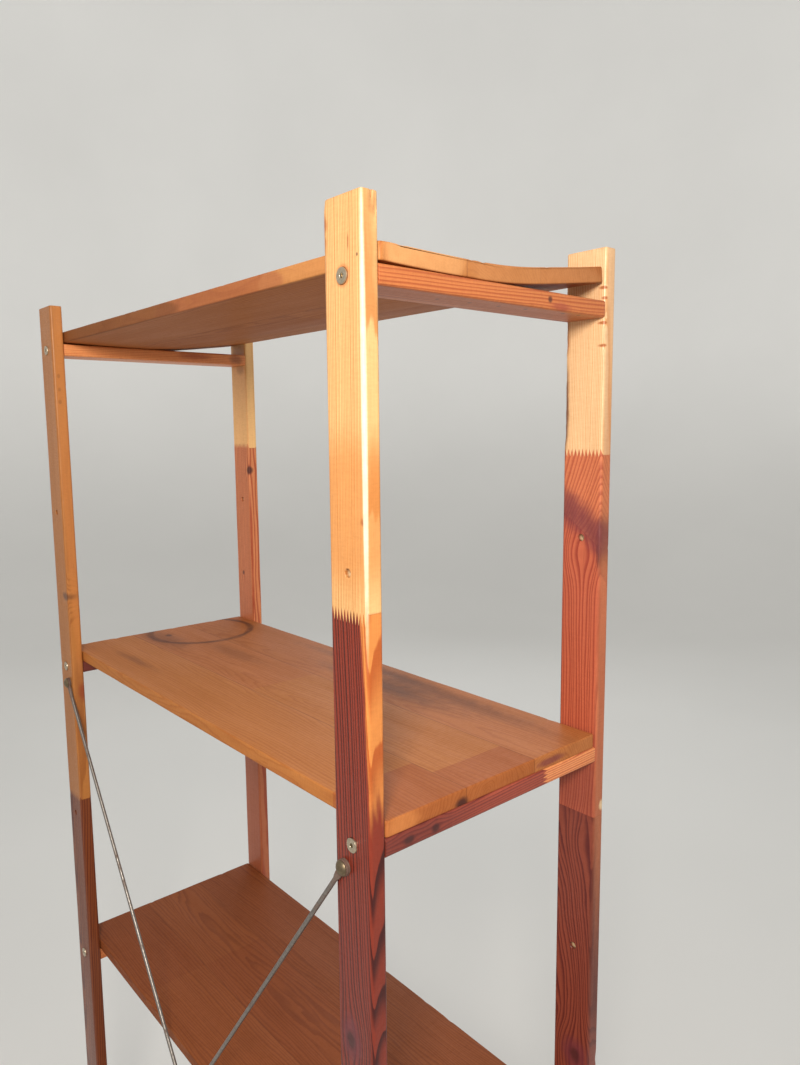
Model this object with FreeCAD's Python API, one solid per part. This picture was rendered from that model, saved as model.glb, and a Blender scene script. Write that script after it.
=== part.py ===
import FreeCAD, Part
import math
import os
from FreeCAD import Vector

# A free-standing shelving unit with bolted, movable shelf levels.
# X runs along its length, Y from the braced rear to the open front, and Z up.
# The origin is on the floor, in the middle of the plan of the posts. All sizes are in millimetres.

# The whole unit
LENGTH = 810.0              # over the posts, along X
DEPTH = 350.0               # over the posts, along Y
LEVELS = 4
PITCHES_PER_LEVEL = 2       # bolt-hole pitches from one shelf to the next

# Posts
POST_WIDTH = 52.0           # along X
POST_THICKNESS = 18.0       # along Y
POST_EDGE_RADIUS = 3.0
POST_END_RADIUS = 1.2
FLOOR_TO_FIRST_HOLE = 100.0
HOLE_PITCH = 250.0
LAST_HOLE_TO_TOP = 65.0
BOLT_HOLE_GAP = 1.0         # around a bolt in its post

# Rails, one under each end of each board
RAIL_THICKNESS = 18.0
RAIL_EDGE_RADIUS = 3.0

# Boards
BOARD_THICKNESS = 16.0
BOARD_SIDE_GAP = 1.0        # to the posts at each long edge
BOARD_END_INSET = 1.0       # inside the posts' outer edges
BOARD_CORNER_RADIUS = 4.0
BOARD_EDGE_RADIUS = 1.5

# The top board has cupped across its width. Its underside is three tangent arcs.
CUP_LOW_LINE_Y = -35.0      # where the underside comes down to the rails
CUP_REAR_RADIUS = 3200.0
CUP_BEND_RADIUS = 700.0
CUP_BEND_WIDTH = 83.0       # the bend's reach in front of the low line
CUP_FRONT_RADIUS = 6000.0
CUP_GAP = 0.3               # left between the low line and the rails

# Connector bolts and the barrel nuts that they screw into
BOLT_D = 6.0
BOLT_HEAD_D = 14.0
BOLT_HEAD_THICKNESS = 2.5
BOLT_HEAD_CHAMFER = 0.4
BOLT_SOCKET_AF = 4.0        # across the flats of the hexagon socket
BOLT_SOCKET_DEPTH = 3.2
BOLT_PAST_NUT = 4.0
HEAD_RECESS_DEPTH = 1.0     # the head has pulled this far into the post
HEAD_RECESS_GAP = 0.3       # around the head
NUT_D = 10.0
NUT_LENGTH = 12.0
NUT_FROM_RAIL_END = 34.0
NUT_GAP = 0.05              # between a nut and its hole, and a bolt and its nut
NUT_SLOT_WIDTH = 1.4
NUT_SLOT_DEPTH = 1.0
RAIL_BORE_GAP = 0.5         # around the bolt
RAIL_BORE_SPARE = 2.0       # beyond the bolt's tip

# Brace: crossed rods with flattened eyes, screwed to the rear posts
ROD_D = 5.0
ROD_SECTION_SHARE = 0.5     # the broad sides' share of the width where the rod is round
ROD_POST_GAP = 0.5          # between a rod and the post that it leaves
ROD_CROSSING_GAP = 0.4      # between the rods where they cross
ROD_BEND_RADIUS = 2000.0    # of each rod's slight bend at the crossing
EYE_D = 16.0
EYE_THICKNESS = 3.0
EYE_BORE_GAP = 0.25         # around the screw
NECK_WIDTH = 8.0
NECK_LENGTH = 11.0          # from the eye's centre to where the neck starts to turn round
TAPER_LENGTH = 10.0
WASHER_D = 16.0
SCREW_D = 5.0
SCREW_POINT_LENGTH = 4.0
SCREW_POINT_COVER = 2.5     # wood left beyond the screw's point
SCREW_HEAD_D = 15.0
SCREW_HEAD_HEIGHT = 4.5
SCREW_HEAD_RIM = 0.8        # upright part under the dome
SCREW_GAP = 0.05            # around the screw in its post
SCREW_BELOW_BOLT = 25.0
SCREW_FROM_INNER_EDGE = 15.0    # from the edge of the post that looks along the unit
BRACE_TOP_LEVEL = 3
BRACE_BOTTOM_LEVEL = 1

LEVEL_PITCH = HOLE_PITCH * PITCHES_PER_LEVEL
HOLE_COUNT = (LEVELS - 1) * PITCHES_PER_LEVEL + 1
POST_HEIGHT = FLOOR_TO_FIRST_HOLE + (LEVELS - 1) * LEVEL_PITCH + LAST_HOLE_TO_TOP
POST_X = (LENGTH - POST_WIDTH) / 2
POST_FACE_Y = DEPTH / 2
POST_INNER_Y = POST_FACE_Y - POST_THICKNESS
BOARD_LENGTH = LENGTH - 2 * BOARD_END_INSET
BOARD_WIDTH = 2 * (POST_INNER_Y - BOARD_SIDE_GAP)
SCREW_X = LENGTH / 2 - POST_WIDTH + SCREW_FROM_INNER_EDGE
ROD_STAND_OFF = ROD_D / 2 + ROD_POST_GAP
WASHER_THICKNESS = ROD_STAND_OFF - EYE_THICKNESS / 2
SCREW_LENGTH = WASHER_THICKNESS + EYE_THICKNESS + POST_THICKNESS - SCREW_POINT_COVER
EYE_Y = -(POST_FACE_Y + ROD_STAND_OFF)
NUT_Y = POST_INNER_Y - NUT_FROM_RAIL_END
EYE_REACH = NECK_LENGTH + TAPER_LENGTH
BOLT_SEAT_Y = POST_FACE_Y - HEAD_RECESS_DEPTH
BOLT_TIP_Y = NUT_Y - NUT_D / 2 - BOLT_PAST_NUT
X_SIDES = {"left": -1, "right": 1}
Y_SIDES = {"rear": -1, "front": 1}
BOTH_SIDES = (-1, 1)


def bolt_z(level):
    """Height of a level's bolts, counting levels from 1 at the floor."""
    return FLOOR_TO_FIRST_HOLE + (level - 1) * LEVEL_PITCH


def rail_top_z(level):
    return bolt_z(level) + RAIL_THICKNESS / 2


def centred_box(size_x, size_y, size_z, centre):
    corner = centre - Vector(size_x, size_y, size_z) / 2
    return Part.makeBox(size_x, size_y, size_z, corner)


def edges_along(shape, direction):
    """The straight edges that run along a direction."""
    found = []
    for edge in shape.Edges:
        ends = edge.Vertexes
        run = ends[-1].Point - ends[0].Point
        if run.Length > 0 and abs(run.normalize().dot(direction)) > 0.999:
            found.append(edge)
    return found


def face_outline(shape, direction):
    """The edges around the faces that look along a direction or against it."""
    found = []
    for face in shape.Faces:
        normal = face.normalAt(*midpoint_parameters(face))
        if abs(normal.dot(direction)) > 0.9:
            found.extend(face.OuterWire.Edges)
    return found


def midpoint_parameters(face):
    low_u, high_u, low_v, high_v = face.ParameterRange
    return (low_u + high_u) / 2, (low_v + high_v) / 2


def post(x_side, y_side):
    """A batten on end, with bolt holes up its wide face and sunk seats for the bolt heads."""
    centre = Vector(x_side * POST_X, y_side * (POST_FACE_Y - POST_THICKNESS / 2), POST_HEIGHT / 2)
    solid = centred_box(POST_WIDTH, POST_THICKNESS, POST_HEIGHT, centre)
    solid = solid.makeFillet(POST_EDGE_RADIUS, edges_along(solid, Vector(0, 0, 1)))
    solid = solid.makeFillet(POST_END_RADIUS, face_outline(solid, Vector(0, 0, 1)))
    outwards = Vector(0, y_side, 0)
    hole_radius = BOLT_D / 2 + BOLT_HOLE_GAP
    cuts = []
    for number in range(HOLE_COUNT):
        height = FLOOR_TO_FIRST_HOLE + number * HOLE_PITCH
        start = Vector(x_side * POST_X, y_side * (POST_INNER_Y - 1), height)
        cuts.append(Part.makeCylinder(hole_radius, POST_THICKNESS + 2, start, outwards))
    seat_radius = BOLT_HEAD_D / 2 + HEAD_RECESS_GAP
    for level in range(1, LEVELS + 1):
        seat = Vector(x_side * POST_X, y_side * BOLT_SEAT_Y, bolt_z(level))
        cuts.append(Part.makeCylinder(seat_radius, HEAD_RECESS_DEPTH + 1, seat, outwards))
    if y_side == Y_SIDES["rear"]:
        for place in screw_places(x_side):
            cuts.append(brace_screw_body(place, SCREW_GAP))
    return solid.cut(cuts)


def rail(x_side, level):
    """A batten on its flat between two posts, bored at each end for a bolt and its barrel nut."""
    centre = Vector(x_side * POST_X, 0, bolt_z(level))
    solid = centred_box(POST_WIDTH, 2 * POST_INNER_Y, RAIL_THICKNESS, centre)
    solid = solid.makeFillet(RAIL_EDGE_RADIUS, edges_along(solid, Vector(0, 1, 0)))
    bore_depth = POST_INNER_Y - BOLT_TIP_Y + RAIL_BORE_SPARE
    nut_hole_depth = RAIL_THICKNESS / 2 + NUT_LENGTH / 2 + NUT_GAP
    cuts = []
    for y_side in BOTH_SIDES:
        bore_mouth = centre + Vector(0, y_side * (POST_INNER_Y + 1), 0)
        inwards = Vector(0, -y_side, 0)
        cuts.append(Part.makeCylinder(BOLT_D / 2 + RAIL_BORE_GAP, bore_depth + 1, bore_mouth, inwards))
        nut_mouth = centre + Vector(0, y_side * NUT_Y, RAIL_THICKNESS / 2 + 1)
        cuts.append(Part.makeCylinder(NUT_D / 2 + NUT_GAP, nut_hole_depth + 1, nut_mouth, Vector(0, 0, -1)))
    return solid.cut(cuts)


def soften_board(solid):
    """Round a board's upright corners, then its top and bottom edges."""
    upright = [edge for edge in solid.Edges if edge.Length < BOARD_THICKNESS * 1.01]
    solid = solid.makeFillet(BOARD_CORNER_RADIUS, upright)
    return solid.makeFillet(BOARD_EDGE_RADIUS, face_outline(solid, Vector(0, 0, 1)))


def flat_board(level):
    """A board that lies loose on its two rails."""
    centre = Vector(0, 0, rail_top_z(level) + BOARD_THICKNESS / 2)
    return soften_board(centred_box(BOARD_LENGTH, BOARD_WIDTH, BOARD_THICKNESS, centre))


def cup_arcs():
    """The cupped underside as (centre y, centre z, radius, first angle, last angle), rear to front.

    An angle is measured at the arc's centre from straight down, positive towards the front.
    Each centre lies on the last radius of the arc before it, which makes the arcs tangent.
    """
    low_z = rail_top_z(LEVELS) + CUP_GAP
    rear_angle = -math.asin((CUP_LOW_LINE_Y + BOARD_WIDTH / 2) / CUP_REAR_RADIUS)
    bend_angle = math.asin(CUP_BEND_WIDTH / CUP_BEND_RADIUS)
    bend_centre_z = low_z + CUP_BEND_RADIUS
    step = CUP_FRONT_RADIUS - CUP_BEND_RADIUS
    front_centre_y = CUP_LOW_LINE_Y - step * math.sin(bend_angle)
    front_centre_z = bend_centre_z + step * math.cos(bend_angle)
    front_angle = math.asin((BOARD_WIDTH / 2 - front_centre_y) / CUP_FRONT_RADIUS)
    return [
        (CUP_LOW_LINE_Y, low_z + CUP_REAR_RADIUS, CUP_REAR_RADIUS, rear_angle, 0.0),
        (CUP_LOW_LINE_Y, bend_centre_z, CUP_BEND_RADIUS, 0.0, bend_angle),
        (front_centre_y, front_centre_z, CUP_FRONT_RADIUS, bend_angle, front_angle),
    ]


def cup_edges(lift):
    """The cupped line at a height above the underside, square to it, as edges at the board's left end."""
    edges = []
    for centre_y, centre_z, radius, first, last in cup_arcs():
        points = []
        for angle in (first, (first + last) / 2, last):
            reach = radius - lift
            y = centre_y + reach * math.sin(angle)
            z = centre_z - reach * math.cos(angle)
            points.append(Vector(-BOARD_LENGTH / 2, y, z))
        edges.append(Part.Arc(*points).toShape())
    return edges


def cupped_board():
    """The top board, cupped across its width."""
    under = cup_edges(0.0)
    over = cup_edges(BOARD_THICKNESS)
    rear_end = Part.makeLine(under[0].Vertexes[0].Point, over[0].Vertexes[0].Point)
    front_end = Part.makeLine(under[-1].Vertexes[-1].Point, over[-1].Vertexes[-1].Point)
    outline = Part.Wire(Part.__sortEdges__(under + [front_end] + over + [rear_end]))
    solid = Part.Face(outline).extrude(Vector(BOARD_LENGTH, 0, 0))
    return soften_board(solid)


def hexagon_prism(across_flats, depth, start, direction):
    """A hexagon bar along Y, from start."""
    corner_radius = across_flats / math.sqrt(3)
    corners = []
    for number in range(7):
        turn = math.radians(60 * number)
        offset = Vector(corner_radius * math.cos(turn), 0, corner_radius * math.sin(turn))
        corners.append(start + offset)
    return Part.Face(Part.makePolygon(corners)).extrude(direction * depth)


def connector_bolt(x_side, y_side, level):
    """A flat-headed bolt with a hexagon socket, from its seat in the post to just past its nut."""
    outwards = Vector(0, y_side, 0)
    seat = Vector(x_side * POST_X, y_side * BOLT_SEAT_Y, bolt_z(level))
    outer = seat + outwards * BOLT_HEAD_THICKNESS
    head = Part.makeCylinder(BOLT_HEAD_D / 2, BOLT_HEAD_THICKNESS, seat, outwards)
    rim = [edge for edge in head.Edges if edge.BoundBox.YLength < 0.01]
    head = head.makeChamfer(BOLT_HEAD_CHAMFER, rim)
    shank = Part.makeCylinder(BOLT_D / 2, BOLT_SEAT_Y - BOLT_TIP_Y, seat, -outwards)
    socket = hexagon_prism(BOLT_SOCKET_AF, BOLT_SOCKET_DEPTH, outer, -outwards)
    return head.fuse(shank).cut(socket).removeSplitter()


def barrel_nut(x_side, y_side, level):
    """A round nut that stands in the rail, slotted on top so that it can be turned to its bolt."""
    centre = Vector(x_side * POST_X, y_side * NUT_Y, bolt_z(level))
    base = centre - Vector(0, 0, NUT_LENGTH / 2)
    body = Part.makeCylinder(NUT_D / 2, NUT_LENGTH, base)
    thread_start = centre - Vector(0, NUT_D, 0)
    thread = Part.makeCylinder(BOLT_D / 2 + NUT_GAP, 2 * NUT_D, thread_start, Vector(0, 1, 0))
    slot_centre = centre + Vector(0, 0, NUT_LENGTH / 2)
    slot = centred_box(NUT_SLOT_WIDTH, 2 * NUT_D, 2 * NUT_SLOT_DEPTH, slot_centre)
    return body.cut([thread, slot])


def at_corners(make, level):
    """One fastener at each of a level's four corners, as a group of separate solids."""
    solids = [make(x_side, y_side, level) for x_side in BOTH_SIDES for y_side in BOTH_SIDES]
    return Part.makeCompound(solids)


def screw_height(level):
    return bolt_z(level) - SCREW_BELOW_BOLT


def screw_places(x_side):
    """The brace screws' centres on one rear post's outer face."""
    levels = (BRACE_BOTTOM_LEVEL, BRACE_TOP_LEVEL)
    return [Vector(x_side * SCREW_X, -POST_FACE_Y, screw_height(level)) for level in levels]


def brace_screw_body(place, gap):
    """A screw's pointed shank, or with a gap the hole for it, starting outside the post's face."""
    stack = WASHER_THICKNESS + EYE_THICKNESS
    head_seat = place - Vector(0, stack, 0)
    plain = SCREW_LENGTH - SCREW_POINT_LENGTH
    radius = SCREW_D / 2 + gap
    shank = Part.makeCylinder(radius, plain, head_seat, Vector(0, 1, 0))
    point_start = head_seat + Vector(0, plain, 0)
    point = Part.makeCone(radius, gap, SCREW_POINT_LENGTH + gap, point_start, Vector(0, 1, 0))
    return shank.fuse(point).removeSplitter()


def brace_screw(place):
    """A round-headed screw: a pointed shank under a head that is an upright rim and a dome."""
    seat = place - Vector(0, WASHER_THICKNESS + EYE_THICKNESS, 0)
    head_radius = SCREW_HEAD_D / 2
    dome_height = SCREW_HEAD_HEIGHT - SCREW_HEAD_RIM
    dome_radius = (head_radius ** 2 + dome_height ** 2) / (2 * dome_height)
    dome_centre = seat + Vector(0, dome_radius - SCREW_HEAD_HEIGHT, 0)
    half_way = math.asin(head_radius / dome_radius) / 2
    rim_low = seat + Vector(head_radius, 0, 0)
    rim_high = rim_low - Vector(0, SCREW_HEAD_RIM, 0)
    dome_middle = dome_centre + Vector(math.sin(half_way), -math.cos(half_way), 0) * dome_radius
    apex = seat - Vector(0, SCREW_HEAD_HEIGHT, 0)
    outline = Part.Wire([
        Part.makeLine(seat, rim_low),
        Part.makeLine(rim_low, rim_high),
        Part.Arc(rim_high, dome_middle, apex).toShape(),
        Part.makeLine(apex, seat),
    ])
    head = Part.Face(outline).revolve(seat, Vector(0, 1, 0), 360)
    return head.fuse(brace_screw_body(place, 0.0)).removeSplitter()


def brace_washer(place):
    """The plain washer between a rod's eye and the post."""
    back = Vector(0, -1, 0)
    disc = Part.makeCylinder(WASHER_D / 2, WASHER_THICKNESS, place, back)
    hole = Part.makeCylinder(SCREW_D / 2 + EYE_BORE_GAP, WASHER_THICKNESS, place, back)
    return disc.cut(hole)


def at_brace_screws(make):
    places = [place for x_side in BOTH_SIDES for place in screw_places(x_side)]
    return Part.makeCompound([make(place) for place in places])


def rod_section(centre, along, across, width, thickness, flat_share):
    """A rod's section square to along, as four edges: two ends and two broad sides.

    flat_share is the broad sides' share of the width. They are straight where what is left of the
    width rounds the ends fully, as in the neck, and otherwise they bulge to the full thickness.
    """
    normal = along.cross(across)
    corner_across = width * flat_share / 2
    end_depth = (width - 2 * corner_across) / 2
    corner_height = math.sqrt((thickness / 2) ** 2 - max(0.0, thickness / 2 - end_depth) ** 2)

    def at(across_reach, height):
        return centre + across * across_reach + normal * height

    half_width, half_thickness = width / 2, thickness / 2
    corners = [
        at(-corner_across, -corner_height),
        at(corner_across, -corner_height),
        at(corner_across, corner_height),
        at(-corner_across, corner_height),
    ]
    bulges = [at(0, -half_thickness), at(half_width, 0), at(0, half_thickness), at(-half_width, 0)]
    edges = []
    for number, bulge in enumerate(bulges):
        start, end = corners[number], corners[(number + 1) % 4]
        if (start + end).distanceToPoint(bulge * 2) < 1e-6:
            edges.append(Part.makeLine(start, end))
        else:
            edges.append(Part.Arc(start, bulge, end).toShape())
    return Part.Wire(edges)


def neck_section(centre, along, across):
    return rod_section(centre, along, across, NECK_WIDTH, EYE_THICKNESS, 1 - EYE_THICKNESS / NECK_WIDTH)


def round_section(centre, along, across):
    return rod_section(centre, along, across, ROD_D, ROD_D, ROD_SECTION_SHARE)


def rod_end(eye, along, rod_along, across):
    """A rod's flattened eye, its neck, and the taper that leads into the round rod.

    along points from the eye's centre down the neck, rod_along down the round rod, and across is
    square to both in the eye's plane.
    """
    back = Vector(0, -1, 0)
    disc = Part.makeCylinder(EYE_D / 2, EYE_THICKNESS, eye - back * (EYE_THICKNESS / 2), back)
    neck = Part.Face(neck_section(eye, along, across)).extrude(along * NECK_LENGTH)
    taper_start = neck_section(eye + along * NECK_LENGTH, along, across)
    taper_end = round_section(eye + along * EYE_REACH, rod_along, across)
    taper = Part.makeLoft([taper_start, taper_end], True, True)
    return [disc, neck, taper]


def brace_rod(x_side, bow_side):
    """A brace rod from one rear post's upper screw down to the other's lower screw.

    bow_side is -1 for the rod that bends to the rear at the crossing and 1 for the other.
    """
    upper = Vector(x_side * SCREW_X, EYE_Y, screw_height(BRACE_TOP_LEVEL))
    lower = Vector(-x_side * SCREW_X, EYE_Y, screw_height(BRACE_BOTTOM_LEVEL))
    down = (lower - upper).normalize()
    across = down.cross(Vector(0, 1, 0))
    bow = (ROD_D + ROD_CROSSING_GAP) / 2
    crossing = (upper + lower) / 2 + Vector(0, bow_side * bow, 0)
    solids = []
    runs = []
    for eye, along in ((upper, down), (lower, -down)):
        rod_start = eye + along * EYE_REACH
        rod_along = (crossing - rod_start).normalize()
        solids.extend(rod_end(eye, along, rod_along, across))
        runs.append((rod_start, rod_along))
    solids.append(bent_rod(runs, crossing, across))
    rod = solids[0].fuse(solids[1:]).removeSplitter()
    for eye in (upper, lower):
        mouth = eye - Vector(0, EYE_THICKNESS, 0)
        rod = rod.cut(Part.makeCylinder(SCREW_D / 2 + EYE_BORE_GAP, 2 * EYE_THICKNESS, mouth, Vector(0, 1, 0)))
    return rod


def bent_rod(runs, crossing, across):
    """The round part of a rod: two straight runs joined by a tangent arc at the crossing."""
    (first_start, first_along), (last_start, last_along) = runs
    turn = first_along.getAngle(-last_along)
    tangent = ROD_BEND_RADIUS * math.tan(turn / 2)
    arc_start = crossing - first_along * tangent
    arc_end = crossing - last_along * tangent
    towards_centre = (-first_along - last_along).normalize()
    centre_distance = ROD_BEND_RADIUS / math.cos(turn / 2)
    arc_middle = crossing + towards_centre * (centre_distance - ROD_BEND_RADIUS)
    path = Part.Wire([
        Part.makeLine(first_start, arc_start),
        Part.Arc(arc_start, arc_middle, arc_end).toShape(),
        Part.makeLine(arc_end, last_start),
    ])
    return path.makePipeShell([round_section(first_start, first_along, across)], True, False)


def build_nodes():
    """Every piece of the unit by its node name."""
    nodes = {}
    for y_name, y_side in Y_SIDES.items():
        for x_name, x_side in X_SIDES.items():
            nodes[f"post_{y_name}_{x_name}"] = post(x_side, y_side)
    for level in range(1, LEVELS + 1):
        for x_name, x_side in X_SIDES.items():
            nodes[f"rail_{level}_{x_name}"] = rail(x_side, level)
        nodes[f"connector_bolts_{level}"] = at_corners(connector_bolt, level)
        nodes[f"barrel_nuts_{level}"] = at_corners(barrel_nut, level)
    for level in range(1, LEVELS):
        nodes[f"shelf_board_{level}"] = flat_board(level)
    nodes[f"shelf_board_{LEVELS}"] = cupped_board()
    nodes["brace_rod_outer"] = brace_rod(X_SIDES["right"], -1)
    nodes["brace_rod_inner"] = brace_rod(X_SIDES["left"], 1)
    nodes["brace_screws"] = at_brace_screws(brace_screw)
    nodes["brace_washers"] = at_brace_screws(brace_washer)
    return nodes


os.makedirs("parts", exist_ok=True)
for node, shape in build_nodes().items():
    shape.exportStep(os.path.join("parts", node + ".step"))
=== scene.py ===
import math
import bpy
import numpy as np
from mathutils import Matrix, Vector


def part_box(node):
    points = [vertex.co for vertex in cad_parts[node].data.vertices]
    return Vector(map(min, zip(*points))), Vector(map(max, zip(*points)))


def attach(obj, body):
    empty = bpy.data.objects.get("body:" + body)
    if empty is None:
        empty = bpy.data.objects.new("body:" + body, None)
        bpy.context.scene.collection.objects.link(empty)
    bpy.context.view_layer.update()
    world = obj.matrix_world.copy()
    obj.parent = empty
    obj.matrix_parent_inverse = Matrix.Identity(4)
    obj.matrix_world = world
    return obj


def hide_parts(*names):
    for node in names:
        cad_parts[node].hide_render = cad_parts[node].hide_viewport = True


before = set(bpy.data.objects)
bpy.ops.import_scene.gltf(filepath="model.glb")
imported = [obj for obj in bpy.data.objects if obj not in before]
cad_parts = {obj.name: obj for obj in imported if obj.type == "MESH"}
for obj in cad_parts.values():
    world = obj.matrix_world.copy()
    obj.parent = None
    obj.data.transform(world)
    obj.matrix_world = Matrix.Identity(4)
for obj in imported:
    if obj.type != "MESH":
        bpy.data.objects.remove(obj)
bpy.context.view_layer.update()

# A bolted pine shelving unit: worn, varnished timber, steel bolts and a crossed rod brace.
# Sizes are in millimetres in the frame's own axes, and become metres when a mesh is made.

MM = 0.001
TOP_LEVEL = 4
X_SIDES = {"left": -1, "right": 1}
Y_SIDES = {"rear": -1, "front": 1}

# Timber finish
POST_EDGE_RADIUS = 3.0
RAIL_EDGE_RADIUS = 3.0
BOARD_EDGE_RADIUS = 1.5
BOARD_CORNER_RADIUS = 4.0
POST_END_RADIUS = 1.2
RAIL_END_RADIUS = 0.4
RAIL_HALF_THICKNESS = 9.0
BOARD_THICKNESS = 16.0

# Bolt holes, bolts and nuts
FIRST_HOLE = 100.0
HOLE_PITCH = 250.0
HOLE_COUNT = 7
HOLE_RADIUS = 4.0
WORN_LIP = 0.5
SEAT_RADIUS = 7.3
SEAT_DEPTH = 1.0
BOLT_RADIUS = 3.0
BOLT_HEAD_RADIUS = 7.0
BOLT_HEAD_THICKNESS = 2.5
BOLT_SOCKET_APOTHEM = 2.0
BOLT_SOCKET_DEPTH = 3.2
BOLT_X = 379.0
BOLT_TIP_Y = 114.0
POST_Y = 166.0
RAIL_BORE_RADIUS = 3.5
RAIL_BORE_DEPTH = 45.0
NUT_HOLE_RADIUS = 5.05
NUT_HOLE_DEPTH = 15.1
NUT_Y = 123.0

# Brace
EYE_X = 368.0
EYE_Y = -178.0
EYE_BELOW_BOLT = 25.0
EYE_RADIUS = 8.0
EYE_THICKNESS = 3.0
NECK_HALF_WIDTH = 4.0
NECK_LENGTH = 11.0
TAPER_LENGTH = 10.0
ROD_RADIUS = 2.5
ROD_BOW = 2.7
SCREW_RADIUS = 2.5
SCREW_BORE_RADIUS = 2.75
WASHER_RADIUS = 8.0
WASHER_THICKNESS = 1.5
SCREW_HEAD_RADIUS = 7.5
SCREW_HEAD_HEIGHT = 4.5
SCREW_HEAD_RIM = 0.8
SCREW_LENGTH = 20.0

# The cupped top board's underside: its low line, its three arcs and its gap over the rails
CUP_LOW_Y = -35.0
CUP_REAR_RADIUS = 3200.0
CUP_BEND_RADIUS = 700.0
CUP_BEND_WIDTH = 83.0
CUP_FRONT_RADIUS = 6000.0
CUP_GAP = 0.3

# ---------------------------------------------------------------- shapes


def node_box(node):
    """A CAD node's lowest and highest corners, in millimetres."""
    low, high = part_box(node)
    return np.array(low) / MM, np.array(high) / MM


def smooth_step(value):
    """0 below 0, 1 above 1 and a smooth S between them."""
    share = np.clip(value, 0.0, 1.0)
    return share * share * (3 - 2 * share)


def grid_quads(rows, columns, joined=False):
    """The corner numbers of every face of a grid whose rows are closed loops."""
    last = rows if joined else rows - 1
    row, column = np.meshgrid(np.arange(last), np.arange(columns), indexing="ij")
    next_row, next_column = (row + 1) % rows, (column + 1) % columns
    corners = [row * columns + column, row * columns + next_column]
    corners += [next_row * columns + next_column, next_row * columns + column]
    return np.stack(corners, -1).reshape(-1, 4)


def skin(name, grid, joined=False):
    """A closed surface over a grid of points, whose rows are closed loops.

    Each row joins the next. When joined, the last row also joins the first; otherwise
    the first and last rows are closed by fans to their own middles. The triple products of
    the faces' corners add up to six times the volume inside. If that is negative, the faces
    are turned over.
    """
    rows, columns = grid.shape[:2]
    points = grid.reshape(-1, 3)
    quads = grid_quads(rows, columns, joined)
    fans = np.zeros((0, 3), int)
    if not joined:
        around = np.arange(columns)
        ahead = (around + 1) % columns
        last = (rows - 1) * columns
        first_fan = np.stack([ahead, around, np.full(columns, len(points))], -1)
        last_fan = np.stack([last + around, last + ahead, np.full(columns, len(points) + 1)], -1)
        fans = np.vstack([first_fan, last_fan])
        points = np.vstack([points, grid[0].mean(0), grid[-1].mean(0)])
    first, second, third, fourth = points[quads].swapaxes(0, 1)
    enclosed = (np.cross(first, second) * third + np.cross(first, third) * fourth).sum()
    first, second, third = points[fans].swapaxes(0, 1)
    enclosed += (np.cross(first, second) * third).sum()
    faces = quads.tolist() + fans.tolist()
    if enclosed < 0:
        faces = [face[::-1] for face in faces]
    return mesh_piece(name, points, faces)


def mesh_piece(name, points, faces):
    """An object at the origin, with points given in millimetres."""
    mesh = bpy.data.meshes.new(name)
    mesh.from_pydata((np.asarray(points) * MM).tolist(), [], faces)
    mesh.update()
    piece = bpy.data.objects.new(name, mesh)
    bpy.context.scene.collection.objects.link(piece)
    return piece


def shade_smooth(piece, sharp_angle=35.0):
    """Smooth shading that stays crisp where faces meet at more than an angle in degrees."""
    mesh = piece.data
    mesh.polygons.foreach_set("use_smooth", np.ones(len(mesh.polygons), bool))
    mesh.set_sharp_from_angle(angle=math.radians(sharp_angle))


def together(name, pieces):
    """Joins pieces into the first one's object."""
    with bpy.context.temp_override(active_object=pieces[0], selected_editable_objects=pieces):
        bpy.ops.object.join()
    pieces[0].name = name
    return pieces[0]


def cut(piece, cutters):
    """Takes the cutters' volume out of a piece and deletes them."""
    tool = together("cutter", cutters) if len(cutters) > 1 else cutters[0]
    change = piece.modifiers.new("cut", "BOOLEAN")
    change.operation = "DIFFERENCE"
    change.solver = "EXACT"
    change.object = tool
    view = bpy.context.evaluated_depsgraph_get()
    finished = bpy.data.meshes.new_from_object(piece.evaluated_get(view))
    piece.modifiers.clear()
    piece.data = finished
    bpy.data.objects.remove(tool)
    return piece


def rounded_outline(width, height, radius, flat_steps, corner_steps=5):
    """A rectangle with quarter-circle corners: its points and outward normals, anticlockwise.

    Each side is evenly divided and each corner's points are its centre plus the radius along
    the turning normal.
    """
    half = np.array([width / 2 - radius, height / 2 - radius])
    points, normals = [], []
    for number, (sign_x, sign_y) in enumerate([(1, -1), (1, 1), (-1, 1), (-1, -1)]):
        centre = half * (sign_x, sign_y)
        turn = np.radians(90 * number - 90) + np.linspace(0, math.pi / 2, corner_steps + 1)
        normal = np.stack([np.cos(turn), np.sin(turn)], -1)
        points.append(centre + radius * normal)
        normals.append(normal)
        upcoming = half * [(1, 1), (-1, 1), (-1, -1), (1, -1)][number]
        steps = flat_steps[1] if number % 2 == 0 else flat_steps[0]
        share = np.linspace(0, 1, steps + 1)[1:-1, None]
        start = centre + radius * normal[-1]
        points.append(start + share * (upcoming - centre))
        normals.append(np.repeat(normal[-1:], len(share), 0))
    return np.vstack(points), np.vstack(normals)


def end_rounding(length, radius, step, steps=4):
    """Stations along a timber and how far its outline draws in at each.

    Near an end the inset follows a quarter circle: radius times one minus the sine of an angle
    that grows as the station leaves the end.
    """
    turn = np.linspace(0, math.pi / 2, steps + 1)
    along = radius * (1 - np.cos(turn))
    inset = radius * (1 - np.sin(turn))
    middle = np.linspace(radius, length - radius, max(2, int(length / step)))[1:-1]
    stations = np.concatenate([along, middle, length - along[::-1]])
    insets = np.concatenate([inset, np.zeros(len(middle)), inset[::-1]])
    return stations, insets


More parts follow.
